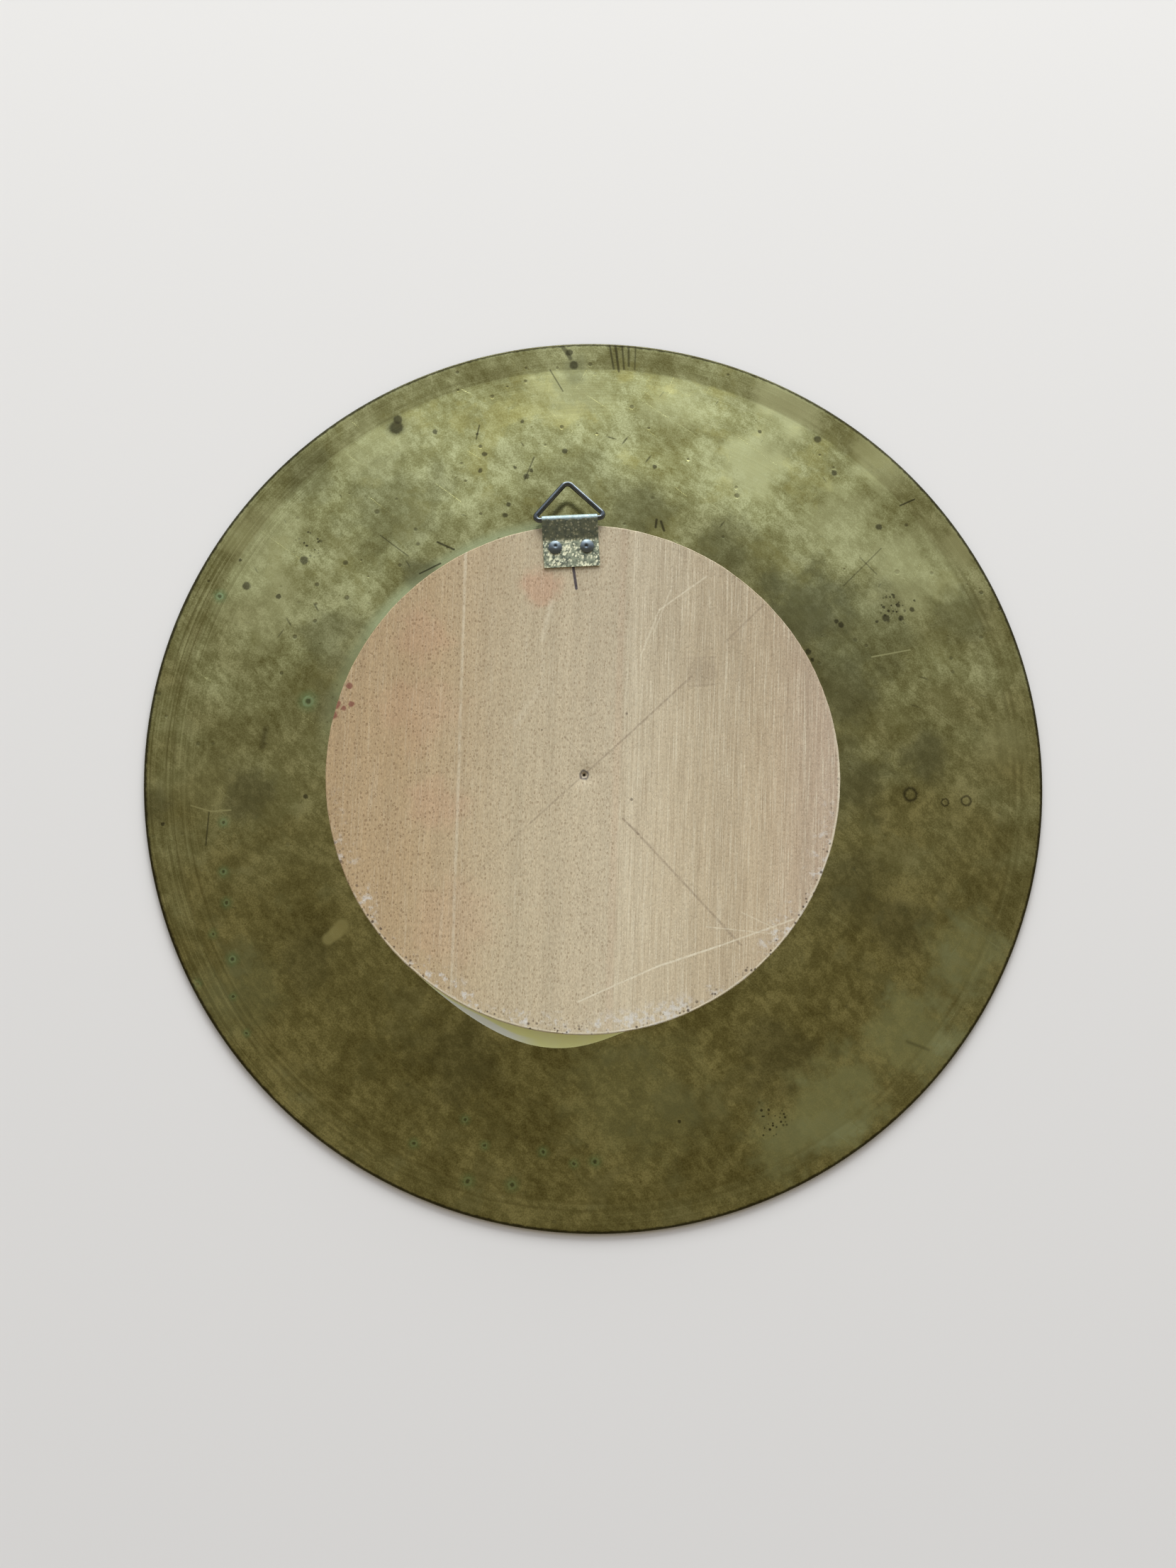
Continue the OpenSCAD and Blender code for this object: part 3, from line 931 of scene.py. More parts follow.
        rough = 0.17 + (1.0 - tone) * 0.14 + w.larger(specks, stain) * 0.12
        rough = rough - Zone(*self.polished).mask(f) * 0.055
        waves = f.bump(w.noise(f.place, 0.045, 1.0), 0.9 * MM)
        ridges = f.bump(lines, 0.012 * MM, waves)
        dents = f.bump(1.0 - w.larger(specks, scratches * 0.3), 0.03 * MM, ridges)
        f.set(Base_Color=colour, Metallic=1.0, Roughness=rough, Normal=dents)
        return f.material


@dataclass(frozen=True)
class BeechFinish:
    """Bare sanded beech, flat-sawn: ray flecks on one side of the figure and streaks on the other."""

    # (millimetres across the grain, tone)
    across: tuple[tuple[float, Colour], ...] = (
        (-64.0, srgb(176, 154, 118)), (-46.0, srgb(182, 161, 125)), (-20.0, srgb(190, 175, 143)),
        (4.0, srgb(198, 184, 154)), (7.5, srgb(198, 184, 154)), (25.0, srgb(188, 172, 141)),
        (42.0, srgb(185, 167, 136)), (64.0, srgb(177, 157, 126)),
    )
    blush: Colour = srgb(196, 150, 120)
    tan: Colour = srgb(176, 146, 104)
    lilac: Colour = srgb(182, 162, 146)
    fleck: Colour = srgb(120, 92, 60)
    cream: Colour = srgb(222, 212, 184)
    pencil: Colour = srgb(122, 104, 84)
    ink: Colour = srgb(52, 44, 54)
    dirt: Colour = srgb(74, 58, 44)
    chalk: Colour = srgb(214, 212, 204)
    red: Colour = srgb(112, 42, 34)
    # how far the grain leans, in millimetres across for each one up
    lean: float = 0.0925
    # (across, further across for each one up) of the figure's edge and of the pale growth line
    figure_edge: Point2 = (5.5, 0.0225)
    growth_line: Point2 = (-34.83, -0.0118)
    # the tones across the board run this far to each side
    half_width: float = 64.0
    # (x, y, x, y, width, strength) of the straight marks, and for some how soft their edges are
    pencil_strokes: Rows = (
        (24.6, 21.8, 6.8, 6.9, 0.5, 0.45), (33.5, 30.0, 44.0, 39.2, 0.5, 0.35),
        (6.8, 6.9, -17.7, -13.0, 0.45, 0.4), (-17.7, -13.0, -36.0, -28.5, 0.45, 0.2),
        (5.1, -13.2, 8.7, -17.2, 0.5, 0.6), (8.7, -17.2, 32.3, -46.0, 0.55, 0.42),
        (-8.0, 8.0, -3.0, 1.5, 0.4, 0.25), (23.8, 26.3, 30.3, 26.3, 0.5, 0.2),
        (30.3, 26.3, 30.0, 19.4, 0.5, 0.2), (30.0, 19.4, 23.8, 19.2, 0.5, 0.25),
        (23.8, 19.2, 23.8, 26.3, 0.5, 0.2), (26.6, 22.8, 27.6, 22.8, 6.0, 0.22, 0.3),
    )
    pale_scratches: Rows = (
        (-8.5, -57.5, 11.1, -50.1, 0.4, 0.75), (11.1, -50.1, 27.1, -45.8, 0.45, 0.9),
        (27.1, -45.8, 45.5, -40.4, 0.4, 0.7), (24.0, -41.0, 40.0, -43.6, 0.3, 0.5),
        (33.0, -38.0, 44.0, -44.0, 0.3, 0.4), (29.9, 47.1, 17.5, 39.1, 0.4, 0.5),
        (17.5, 39.1, 12.0, 27.3, 0.4, 0.45), (20.6, 44.0, 15.6, 33.0, 0.35, 0.35),
        (-12.3, 33.0, -9.5, 42.5, 1.0, 0.35, 0.9), (-20.0, 12.0, -14.0, 20.0, 1.4, 0.22, 0.9),
    )
    pen_tick: tuple[float, ...] = (-3.62, 52.4, -3.05, 45.6, 0.72, 0.92, 0.3)
    # (x, y, radius, strength) of the rosy patches and of the heap of chalk at the lower edge
    blushes: Rows = (
        (-12.5, 46.5, 6.5, 0.5), (-42.0, 36.0, 9.0, 0.25), (-40.0, -8.0, 9.0, 0.25),
        (-44.0, 16.0, 12.0, 0.2), (-38.0, -36.0, 14.0, 0.15),
    )
    chalk_heap: tuple[float, ...] = (8.0, -63.0, 15.0, 1.0)
    # (x, y, radius) of the red specks, and how many times as large they are laid
    red_specks: Rows = (
        (-64.2, 19.1, 0.9), (-60.5, 19.0, 0.6), (-60.8, 23.6, 0.7), (-65.1, 16.4, 0.9), (-62.4, 18.0, 0.5),
    )
    red_size: float = 2.2

    def figure(
        self, f: Finish, colour: Signal, grain: Signal, smooth_side: Signal
    ) -> tuple[Signal, Signal]:
        """Lays the wide bands, the fine streaks and the ray flecks.

        Args:
            f: the finish.
            colour: the wood's colour.
            grain: the place, with its first part across the grain.
            smooth_side: 1 on the streaked side of the figure and 0 on the flecked side.

        Returns:
            The colour and the flecks.
        """
        w = f.w
        across = w.parts(grain)[0]
        wide = w.noise(w.stretch(grain, 0.30, 0.012, 0.3), 1.0)
        colour = w.shade(colour, w.fade(wide, 0.3, 0.7), 0.95, 1.05)
        streak = w.noise(w.stretch(grain, 4.2, 0.07, 3.0), 1.0, 4.0, 0.7)
        pale = w.fade(streak, 0.53, 0.64) * (0.2 + smooth_side * 0.34)
        brown = w.fade(streak, 0.48, 0.36) * (0.16 + smooth_side * 0.2)
        colour = f.tint(colour, pale, 1.0, self.cream)
        colour = f.tint(colour, brown, 0.8, self.fleck)
        colour = f.tint(colour, w.fade(abs(across - 4.4), 1.4, 0.3), 0.1, self.blush)
        grit = w.fade(w.noise(w.stretch(grain, 3.6, 1.6, 3.0), 1.0, 2.0), 0.36, 0.64)
        colour = w.shade(colour, grit, 0.91, 1.07)

        dots = w.fade(w.noise(w.stretch(grain, 1.75, 1.0, 1.7), 1.0, 1.0), 0.50, 0.66)
        small = w.fade(w.noise(w.stretch(grain, 3.4, 1.1, 3.3), 1.0, 1.0), 0.50, 0.66)
        cells = f.specks(0.68, 0.3, 0.95, w.stretch(grain, 1.0, 0.6, 1.0))
        far = w.fade(across, -22.0, -44.0)
        flecks = w.larger(dots * 0.25, cells * (0.8 + far * 0.2), small * 0.45)
        share = (1.0 - smooth_side) * 0.44 + 0.09
        return w.mix(flecks * share, colour, self.fleck), flecks

    def edge_dirt_and_highlight(self, f: Finish, colour: Signal, top: Signal) -> Signal:
        """Lays a painted highlight on the lower right arris, the chalky rubs, the grime and the specks at
        the disc's edge.

        Args:
            f: the finish.
            colour: the wood's colour.
            top: 1 where the surface faces up.

        Returns:
            The colour with the dirt on it.
        """
        w = f.w
        x, y, _ = w.parts(f.place)
        out = f.distance(DISC_MIDDLE)
        low = w.fade(y, 5.0, -35.0)
        # painted highlight: a cream line along the arris at the lower right, for the lit edge
        lower_right = w.fade(y - x * 0.35, 0.0, -30.0) * w.fade(out, 63.05, 63.5)
        colour = f.tint(colour, lower_right, 0.65, self.cream)
        rubbed = f.patches(1.6, 0.5, 0.66) * (low * f.patches(9.0, 0.42, 0.56))
        chalky = w.fade(out, 57.0, 61.5) * rubbed
        heaped = w.fade(out, 57.5, 61.5) * f.patches(1.6, 0.42, 0.6) * Zone(*self.chalk_heap).mask(f)
        colour = f.tint(colour, w.larger(chalky, heaped), 0.7, self.chalk)
        near_edge = w.fade(out, 60.6, 63.0) * (0.2 + low * 0.65)
        colour = w.mix(f.specks(1.0, 0.34, 0.5) * near_edge, colour, self.dirt)
        colour = f.tint(colour, f.specks(7.0, 0.055, 0.35), 0.6, self.dirt)
        for x_at, y_at, radius in self.red_specks:
            colour = f.tint(colour, f.spot(x_at, y_at, radius * self.red_size)[0] * top, 0.72, self.red)
        return colour

    def drawn(self, f: Finish, colour: Signal) -> Signal:
        """Lays the pencil lines, the pale scratches, the pen tick and the inked ring round the centre.

        Args:
            f: the finish.
            colour: the wood's colour.

        Returns:
            The colour with the lines on it.
        """
        w = f.w
        worn = w.fade(w.noise(f.place, 1.4, 2.0), 0.1, 0.6)
        for row in self.pencil_strokes:
            colour = w.mix(Stroke(*row).mask(f) * worn, colour, self.pencil)
        for row in self.pale_scratches:
            colour = w.mix(Stroke(*row).mask(f) * worn, colour, self.cream)
        colour = w.mix(Stroke(*self.pen_tick).mask(f), colour, self.ink)
        dot, ring, _ = f.spot(*DISC_MIDDLE, 1.0)
        colour = f.tint(colour, ring, 0.85, self.ink)
        return f.tint(colour, dot, 0.6, self.dirt)

    def make(self) -> bpy.types.Material:
        """Builds the material: tone across the board, painted shade from top to bottom, figure, growth
        line, drawn lines, edge and side.

        Returns:
            The material.
        """
        f = Finish("bare_beech")
        w = f.w
        x, y, z = w.parts(f.place)
        across = x - y * self.lean
        grain = w.take(0, "CombineXYZ", {0: across, 1: y, 2: z})
        width = 2.0 * self.half_width
        stops = [((place + self.half_width) / width, tone) for place, tone in self.across]
        colour = w.ramp((across + self.half_width) / width, stops)
        patch = f.patches(26.0, 0.4, 0.65, w.stretch(grain, 1.0, 0.6, 1.0))
        left = w.fade(across, -18.0, -50.0)
        colour = f.tint(colour, left * (0.5 + patch * 0.5), 0.42, self.tan)
        colour = lay(f, colour, Zone, self.blushes, self.blush)
        colour = f.tint(colour, w.fade(across, 38.0, 60.0), 0.4, self.lilac)
        # painted shade and light: darker towards the top, most of all from the middle rightwards, and
        # lighter towards the bottom
        upper = w.fade(y, -25.0, 50.0) * w.fade(across, -22.0, 14.0)
        colour = w.shade(colour, 1.0 - upper, 0.9, 1.0)
        colour = w.shade(colour, w.fade(y, 55.0, -35.0), 0.97, 1.05)
        edge_at, edge_lean = self.figure_edge
        smooth_side = w.fade(across - (edge_at + y * edge_lean), -0.8, 0.8)
        colour, flecks = self.figure(f, colour, grain, smooth_side)

        line_at, line_lean = self.growth_line
        off_line = abs(across - (line_at + y * line_lean))
        broken = w.fade(w.noise(w.stretch(grain, 1.5, 0.45, 1.0), 1.0), 0.2, 0.65)
        colour = f.tint(colour, w.fade(off_line, 0.6, 0.1) * broken, 0.4, self.cream)
        colour = self.drawn(f, colour)
        upward = w.parts(w.take("Normal", "NewGeometry"))[2]
        side = w.fade(upward, 0.6, 0.2)
        colour = self.edge_dirt_and_highlight(f, colour, 1.0 - side)
        sawn = w.noise(w.stretch(f.place, 0.15, 0.15, 4.0), 1.0)
        colour = f.tint(colour, side, 0.45, w.shade(self.fleck, w.fade(sawn, 0.3, 0.7), 0.9, 1.6))

        rough = 0.56 + flecks * 0.15
        pores = f.bump(1.0 - flecks, 0.04 * MM)
        f.set(Base_Color=colour, Metallic=0.0, Roughness=rough, Normal=pores, Specular_IOR_Level=0.35)
        return f.material


@dataclass(frozen=True)
class GlueFinish:
    """Clear set glue over brass: yellow-green in its depth, faintly clouded, with a painted highlight along
    its thin outer edge.
    """

    name: str
    deep: Colour = srgb(246, 255, 184)
    milky_and_highlight: Colour = srgb(244, 255, 255)

    def make(self) -> bpy.types.Material:
        """Builds the material: faint clouds, and a painted highlight beyond a distance from the disc's
        middle, at the glue's left end.

        Returns:
            The material.
        """
        f = Finish(self.name)
        w = f.w
        x = w.parts(f.place)[0]
        out = f.distance(DISC_MIDDLE)
        cloud = f.patches(6.0, 0.4, 0.7)
        inner = out - w.fade(x, -34.0, -22.0) * 1.6
        colour = f.tint(self.deep, cloud, 0.12, self.milky_and_highlight)
        # painted highlight along the outer edge at the glue's left end
        colour = f.tint(colour, w.fade(x, -17.0, -27.0) * w.fade(inner, 63.9, 64.5), 0.95, self.milky_and_highlight)
        ripple = f.bump(w.noise(f.place, 0.35, 1.0), 0.12 * MM)
        f.set(Base_Color=colour, Metallic=0.0, Roughness=0.08 + cloud * 0.08, Normal=ripple)
        f.set(IOR=1.5, Coat_Weight=0.25, Coat_Roughness=0.05)
        return f.material


@dataclass(frozen=True)
class StrapFinish:
    """Spangled zinc plate, worn: bright flakes on the level leaf, dark on the rise, a painted highlight on
    the fold.
    """

    base: Colour = srgb(152, 158, 132)
    dark: Colour = srgb(96, 102, 88)
    flake: Colour = srgb(238, 236, 200)
    fold_highlight: Colour = srgb(154, 170, 170)
    # how far below the hinge the fold's painted highlight begins
    highlight_below: float = 0.35

    def make(self, hinge_y: float, knee_y: float) -> bpy.types.Material:
        """Builds the material.

        Args:
            hinge_y: where the ring's hinge is, in millimetres.
            knee_y: where the level leaf ends, in millimetres.

        Returns:
            The material.
        """
        f = Finish("spangled_zinc")
        w = f.w
        wavy = w.parts(f.place)[1] + (w.noise(f.place, 0.5) - 0.5) * 1.6
        level = w.fade(wavy, knee_y + 0.5, knee_y - 0.5)
        highlight_from = hinge_y - self.highlight_below
        fold = w.fade(wavy, highlight_from - 0.15, highlight_from + 0.15)
        mottle = f.patches(1.1, 0.4, 0.62)
        colour = w.mix(mottle, self.base, self.dark)
        colour = f.tint(colour, 1.0 - level, 0.62, self.dark)
        chips = f.specks(0.62, 0.52, 0.68, f.turned_by(0.5, 1.0, 0.6, 1.0))
        colour = f.tint(colour, chips * level, 0.9, self.flake)
        bits = f.specks(0.6, 0.5, 0.5) * (level * 0.4 + 0.42)
        colour = f.tint(colour, bits, 0.7, self.flake)
        # painted highlight: the fold lightened to a pale blue-grey
        colour = f.tint(colour, fold, 0.9, self.fold_highlight)
        rough = 0.42 + mottle * 0.12 + fold * 0.1
        f.set(Base_Color=colour, Metallic=0.85, Roughness=rough, Normal=f.bump(mottle, 0.02 * MM))
        return f.material


@dataclass(frozen=True)
class SteelFinish:
    """Smooth zinc-plated steel: a base tone, faint tarnish, a few pits and painted shade in the dents."""

    name: str
    base: Colour
    dark: Colour
    roughness: float
    dents: tuple[Point2, ...] = ()
    # tone of the painted shade in the nails' dents
    hollow: Colour = srgb(40, 44, 50)

    def make(self) -> bpy.types.Material:
        """Builds the material: the tone, its tarnish and pits, then painted shade as a dark round spot in
        each dent.

        Returns:
            The material.
        """
        f = Finish(self.name)
        tarnish = f.patches(3.0, 0.42, 0.66)
        colour = f.tint(self.base, tarnish, 0.5, self.dark)
        colour = f.tint(colour, f.specks(0.9, 0.18, 0.2), 0.5, self.dark)
        # painted shade in each dent
        for dent in self.dents:
            colour = f.tint(colour, f.w.fade(f.distance(dent), 0.62, 0.2), 0.75, self.hollow)
        f.set(Base_Color=colour, Metallic=1.0, Roughness=self.roughness + tarnish * 0.1)
        return f.material


# ---------------------------------------------------------------- the pieces


def middle_of(box: Box) -> Point2:
    """The middle (x, y) of a box."""
    low, high = box
    return (low.x + high.x) / 2, (low.y + high.y) / 2


@dataclass(frozen=True)
class Places:
    """Where things are, read from the frame, in metres: the plate, disc, strap, hinge and nails."""

    plate_radius: float
    disc_centre: Point2
    disc_radius: float
    disc_low: float
    disc_top: float
    hinge: Point3
    strap: Box
    nails: dict[str, Point2]
    head_top: float

    @classmethod
    def read(cls, frame: dict) -> Places:
        """Reads the boxes of the nodes and the hinge's place.

        Args:
            frame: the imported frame.

        Returns:
            The places.
        """
        plate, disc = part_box("paten_plate"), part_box("backing_disc")
        nails = {node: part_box(node) for node in NAIL_DENTS}
        return cls(
            plate_radius=(plate[1].x - plate[0].x) / 2,
            disc_centre=middle_of(disc),
            disc_radius=(disc[1].x - disc[0].x) / 2,
            disc_low=disc[0].z,
            disc_top=disc[1].z,
            hinge=tuple(frame["joints"][0]["pos_m"]),
            strap=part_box("hanger_strap"),
            nails={node: middle_of(box) for node, box in nails.items()},
            head_top=nails["nail_right"][1].z,
        )


def dress(piece: bpy.types.Object, material: bpy.types.Material, body: Body, node: str) -> None:
    """Gives a piece its finish in a material slot and its body, hides the CAD node it stands for, and
    reports it.

    Args:
        piece: the finished object.
        material: its finish.
        body: the rigid body it moves with.
        node: the CAD node it stands for.
    """
    piece.data.materials.append(material)
    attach(piece, body.value)
    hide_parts(node)
    LOG.info("%s: %d faces, on body %s", piece.name, len(piece.data.polygons), body.value)


@dataclass
class SpunPlate:
    """The brass plate: level middle, bend, straight wall, hollow crease and level rim, one sheet thick."""

    places: Places
    sheet: float = 1.2 * MM
    rim_width: float = 6.7 * MM
    slope: float = 7.0
    flat_radius: float = 60.0 * MM
    bend_width: float = 18.0 * MM
    hollow_radius: float = 6.0 * MM
    edge_radius: float = 0.4 * MM
    # radii of the two lines turned in the face, one on the wall and one on the level middle
    line_radii: Point2 = (101.0 * MM, 54.0 * MM)
    line_depth: float = 0.2 * MM
    line_half: float = 0.35 * MM
    turns: int = 480
    rim_inner: float = field(init=False)
    bend_radius: float = field(init=False)
    wall_inner: float = field(init=False)
    wall_outer: float = field(init=False)
    wall_top: float = field(init=False)
    middle_height: float = field(init=False)

    def __post_init__(self) -> None:
        """Works out the heights of the wall's two ends and of the level middle."""
        tilt = math.radians(self.slope)
        self.rim_inner = self.places.plate_radius - self.rim_width
        self.bend_radius = self.bend_width / math.sin(tilt)
        self.wall_inner = self.flat_radius + self.bend_width
        self.wall_outer = self.rim_inner - self.hollow_radius * math.sin(tilt)
        foot = self.sheet + self.hollow_radius * (1 - math.cos(tilt))
        self.wall_top = foot + (self.wall_outer - self.wall_inner) * math.tan(tilt)
        self.middle_height = self.wall_top + self.bend_radius * (1 - math.cos(tilt))

    def back_height(self, radius: np.ndarray) -> np.ndarray:
        """Height of the back: level, then a circle's arc, then a straight slope.

        Args:
            radius: distances from the axis.

        Returns:
            The heights there.
        """
        bend = self.middle_height - self.bend_radius
        inside = np.clip(radius - self.flat_radius, 0.0, self.bend_width)
        curve = bend + np.sqrt(self.bend_radius**2 - inside**2)
        wall = self.wall_top - (radius - self.wall_inner) * math.tan(math.radians(self.slope))
        return np.where(radius <= self.wall_inner, curve, wall)

    def back_outline(self) -> list[np.ndarray]:
        """The back (r, z) from the axis out: level middle, bend, wall, hollow, level rim and upper edge.

        Returns:
            The runs of points in order.
        """
        edge = self.edge_radius
        edge_foot = self.places.plate_radius - edge
        bend = (self.flat_radius, self.middle_height - self.bend_radius)
        wall_foot = (self.wall_outer, float(self.back_height(np.array(self.wall_outer))))
        hollow = (self.rim_inner, self.sheet + self.hollow_radius)
        return [
            run((0.0, self.middle_height), (self.flat_radius, self.middle_height), 14),
            arc(bend, self.bend_radius, 90.0, 90.0 - self.slope, 14),
            run((self.wall_inner, self.wall_top), wall_foot, 12)[1:],
            arc(hollow, self.hollow_radius, 270.0 - self.slope, 270.0, 6),
            run((self.rim_inner, self.sheet), (edge_foot, self.sheet), 6)[1:],
            arc((edge_foot, self.sheet - edge), edge, 90.0, 0.0, 6),
        ]

    def face_outline(self) -> list[np.ndarray]:
        """The face (r, z) from the edge to the axis: the back moved in by the sheet, with two lines.

        Returns:
            The runs of points in order.
        """
        edge = self.edge_radius
        edge_foot = self.places.plate_radius - edge
        bend = (self.flat_radius, self.middle_height - self.bend_radius)
        hollow = (self.rim_inner, self.sheet + self.hollow_radius)
        drop = self.sheet / math.cos(math.radians(self.slope))
        face = self.middle_height - self.sheet
        # a line's section: (share of its half width, share of its depth)
        section = np.array([[1.0, 0.0], [0.4, 0.8], [0.0, 1.0], [-0.4, 0.8], [-1.0, 0.0]])
        across, depth = section[:, 0] * self.line_half, section[:, 1] * self.line_depth
        wall_line, flat_line = self.line_radii
        wall_heights = self.back_height(wall_line + across) - drop + depth
        on_wall = np.stack([wall_line + across, wall_heights], axis=1)
        wall_end = (self.wall_inner, float(self.back_height(np.array(self.wall_inner))) - drop)
        return [
            arc((edge_foot, edge), edge, 0.0, -90.0, 6),
            run((edge_foot, 0.0), (self.rim_inner, 0.0), 6)[1:],
            arc(hollow, self.hollow_radius + self.sheet, 270.0, 270.0 - self.slope, 6),
            on_wall,
            run(tuple(on_wall[-1]), wall_end, 8)[1:],
            arc(bend, self.bend_radius - self.sheet, 90.0 - self.slope, 90.0, 14),
            np.stack([flat_line + across, face + depth], axis=1),
            run((flat_line - self.line_half, face), (0.0, face), 10)[1:],
            np.array([[0.0, face]]),
        ]

    def make(self, material: bpy.types.Material) -> None:
        """Builds and dresses the plate."""
        profile = np.concatenate(self.back_outline() + self.face_outline())
        piece = revolve("spun_brass_plate", profile, (0.0, 0.0), self.turns)
        dress(piece, material, Body.PLATE, "paten_plate")


@dataclass
class BackingDisc:
    """The wooden disc with its eased edges and centre prick, and the glue under and beside it."""

    places: Places
    plate: SpunPlate
    turns: int = 720
    arris: float = 0.35 * MM
    edge_band: float = 1.2 * MM
    # (radius, depth) down the side of the centre prick
    prick: tuple[Point2, ...] = (
        (1.1 * MM, 0.0), (0.77 * MM, 0.12 * MM), (0.3 * MM, 0.5 * MM), (0.27 * MM, 1.8 * MM),
        (0.0, 2.1 * MM),
    )
    # how deep the long and the short dents of the worn edge are, and how far in and down they show
    wear_long: float = 0.07 * MM
    wear_short: float = 0.05 * MM
    wear_in: float = 0.8 * MM
    wear_down: float = 0.9 * MM
    bed_turns: int = 360
    bed_inset: float = 0.12 * MM
    bed_over_plate: float = 0.004 * MM
    bed_under_wood: float = 0.002 * MM
    squeeze_width: float = 3.7 * MM
    squeeze_height: float = 1.0 * MM
    squeeze_start: float = -137.0
    squeeze_sweep: float = 53.5
    squeeze_inset: float = 0.05 * MM
    squeeze_over_plate: float = 0.006 * MM

    def wear(self, points: np.ndarray) -> np.ndarray:
        """Wears the side: points near it move in by a wobble of their angle.

        The wobble is 0.07 mm on average and 0.18 mm at most. The upper edge takes all of it and
        sinks by six tenths of it; the lower edge takes about a third.

        Args:
            points: the disc's points.

        Returns:
            The worn points.
        """
        centre = np.array(self.places.disc_centre)
        offset = points[:, :2] - centre
        radius = np.hypot(offset[:, 0], offset[:, 1])
        angle = np.arctan2(offset[:, 1], offset[:, 0])
        long_dents = np.abs(soft_noise(seed=7, waves=60, lowest=9)(angle)) * self.wear_long
        short_dents = np.abs(soft_noise(seed=8, waves=90, lowest=40)(angle)) * self.wear_short
        top = np.clip((points[:, 2] - self.places.disc_top) / self.wear_down + 1.0, 0.0, 1.0)
        near = np.clip((radius - self.places.disc_radius) / self.wear_in + 1.0, 0.0, 1.0)
        pull = (long_dents + short_dents) * near * (0.35 + 0.65 * top)
        keep = np.where(radius > 0, 1.0 - pull / np.maximum(radius, 1e-9), 1.0)
        worn = points.copy()
        worn[:, :2] = centre + offset * keep[:, None]
        worn[:, 2] -= np.where(top >= 0.99, pull * 0.6, 0.0)
        return worn

    def profile(self) -> np.ndarray:
        """The outline (r, z) from the axis under the disc, up its side, over its top and down the prick.

        Returns:
            Its points.
        """
        radius, low, top = self.places.disc_radius, self.places.disc_low, self.places.disc_top
        ease = self.arris
        shoulder = radius - ease
        band = radius - self.edge_band
        return np.concatenate([
            run((0.0, low), (shoulder, low), 6),
            arc((shoulder, low + ease), ease, -90.0, 0.0, 5),
            run((radius, low + ease), (radius, top - ease), 8)[1:],
            arc((shoulder, top - ease), ease, 0.0, 90.0, 6),
            run((shoulder, top), (band, top), 3)[1:],
            run((band, top), (self.prick[0][0], top), 16),
            np.array(self.prick) * [1.0, -1.0] + [0.0, top],
        ])

    def glue_bed(self) -> bpy.types.Object:
        """The glue's bed: a level disc on top whose underside follows the plate's back.

        Returns:
            The object.
        """
        radius = self.places.disc_radius - self.bed_inset
        ceiling = self.places.disc_low - self.bed_under_wood
        under = run((0.0, 0.0), (radius, 0.0), 16)
        over = run((radius, 1.0), (0.0, 1.0), 6)
        profile = np.concatenate([under, [[radius, 0.0]], over, [[0.0, 1.0]]])

        def settle(points: np.ndarray) -> np.ndarray:
            """Puts height 0 on the plate's back and height 1 under the wood.

            Args:
                points: the bed's points, with heights from 0 to 1.

            Returns:
                The settled points.
            """
            back = self.plate.back_height(np.hypot(points[:, 0], points[:, 1])) + self.bed_over_plate
            settled = points.copy()
            settled[:, 2] = back + (ceiling - back) * points[:, 2]
            return settled

        return revolve("glue_bed_under_disc", profile, self.places.disc_centre, self.bed_turns, settle)

    def squeeze_out(self) -> bpy.types.Object:
        """The squeezed-out glue: a convex fillet round part of the disc.

        At share s of its sweep its size is k = sin(pi s^1.6)^1.3, its width W k and its height
        H sqrt(k), and its two ends stop just short of nothing. Its section runs out level from
        the wood and then, over a quarter turn a, is at
        (W k cos(a)^0.85, H sqrt(k) sin(a)^1.1 (1 - sin(2a) / 4)).

        Returns:
            The object.
        """
        share = np.linspace(0.012, 0.988, 120)
        size = np.sin(np.pi * share**1.6) ** 1.3
        angle = np.radians(self.squeeze_start + self.squeeze_sweep * share)[:, None]
        width = self.squeeze_width * size[:, None]
        height = self.squeeze_height * np.sqrt(size)[:, None]
        turn = np.linspace(0.0, np.pi / 2, 12)
        out = np.concatenate([[0.0, 0.5], np.cos(turn) ** 0.85])
        up = np.concatenate([[0.0, 0.0], np.sin(turn) ** 1.1 * (1.0 - 0.25 * np.sin(2 * turn))])
        reach = self.places.disc_radius - self.squeeze_inset + width * out
        x = self.places.disc_centre[0] + reach * np.cos(angle)
        y = self.places.disc_centre[1] + reach * np.sin(angle)
        z = self.plate.back_height(np.hypot(x, y)) + self.squeeze_over_plate + height * up
        return sweep("glue_squeeze_out_bead", np.stack([x, y, z], axis=-1))

    def make(self, wood: bpy.types.Material, bed: bpy.types.Material, bead: bpy.types.Material) -> None:
        """Builds and dresses the disc and its glue.

        Args:
            wood: the disc's finish.
            bed: the glue bed's finish.
            bead: the squeezed-out glue's finish.
        """
        disc = revolve("beech_backing_disc", self.profile(), self.places.disc_centre, self.turns, self.wear)
        dress(disc, wood, Body.PLATE, "backing_disc")
        dress(self.glue_bed(), bed, Body.PLATE, "glue_bed")
        dress(self.squeeze_out(), bead, Body.PLATE, "glue_squeeze_out")


def sideways(path: np.ndarray) -> np.ndarray:
    """The unit steps square to a flat path, to its left, from the slope between each point's neighbours."""
    along = np.gradient(path, axis=0)
    along /= np.linalg.norm(along, axis=1, keepdims=True)
    return np.stack([-along[:, 1], along[:, 0]], axis=1)


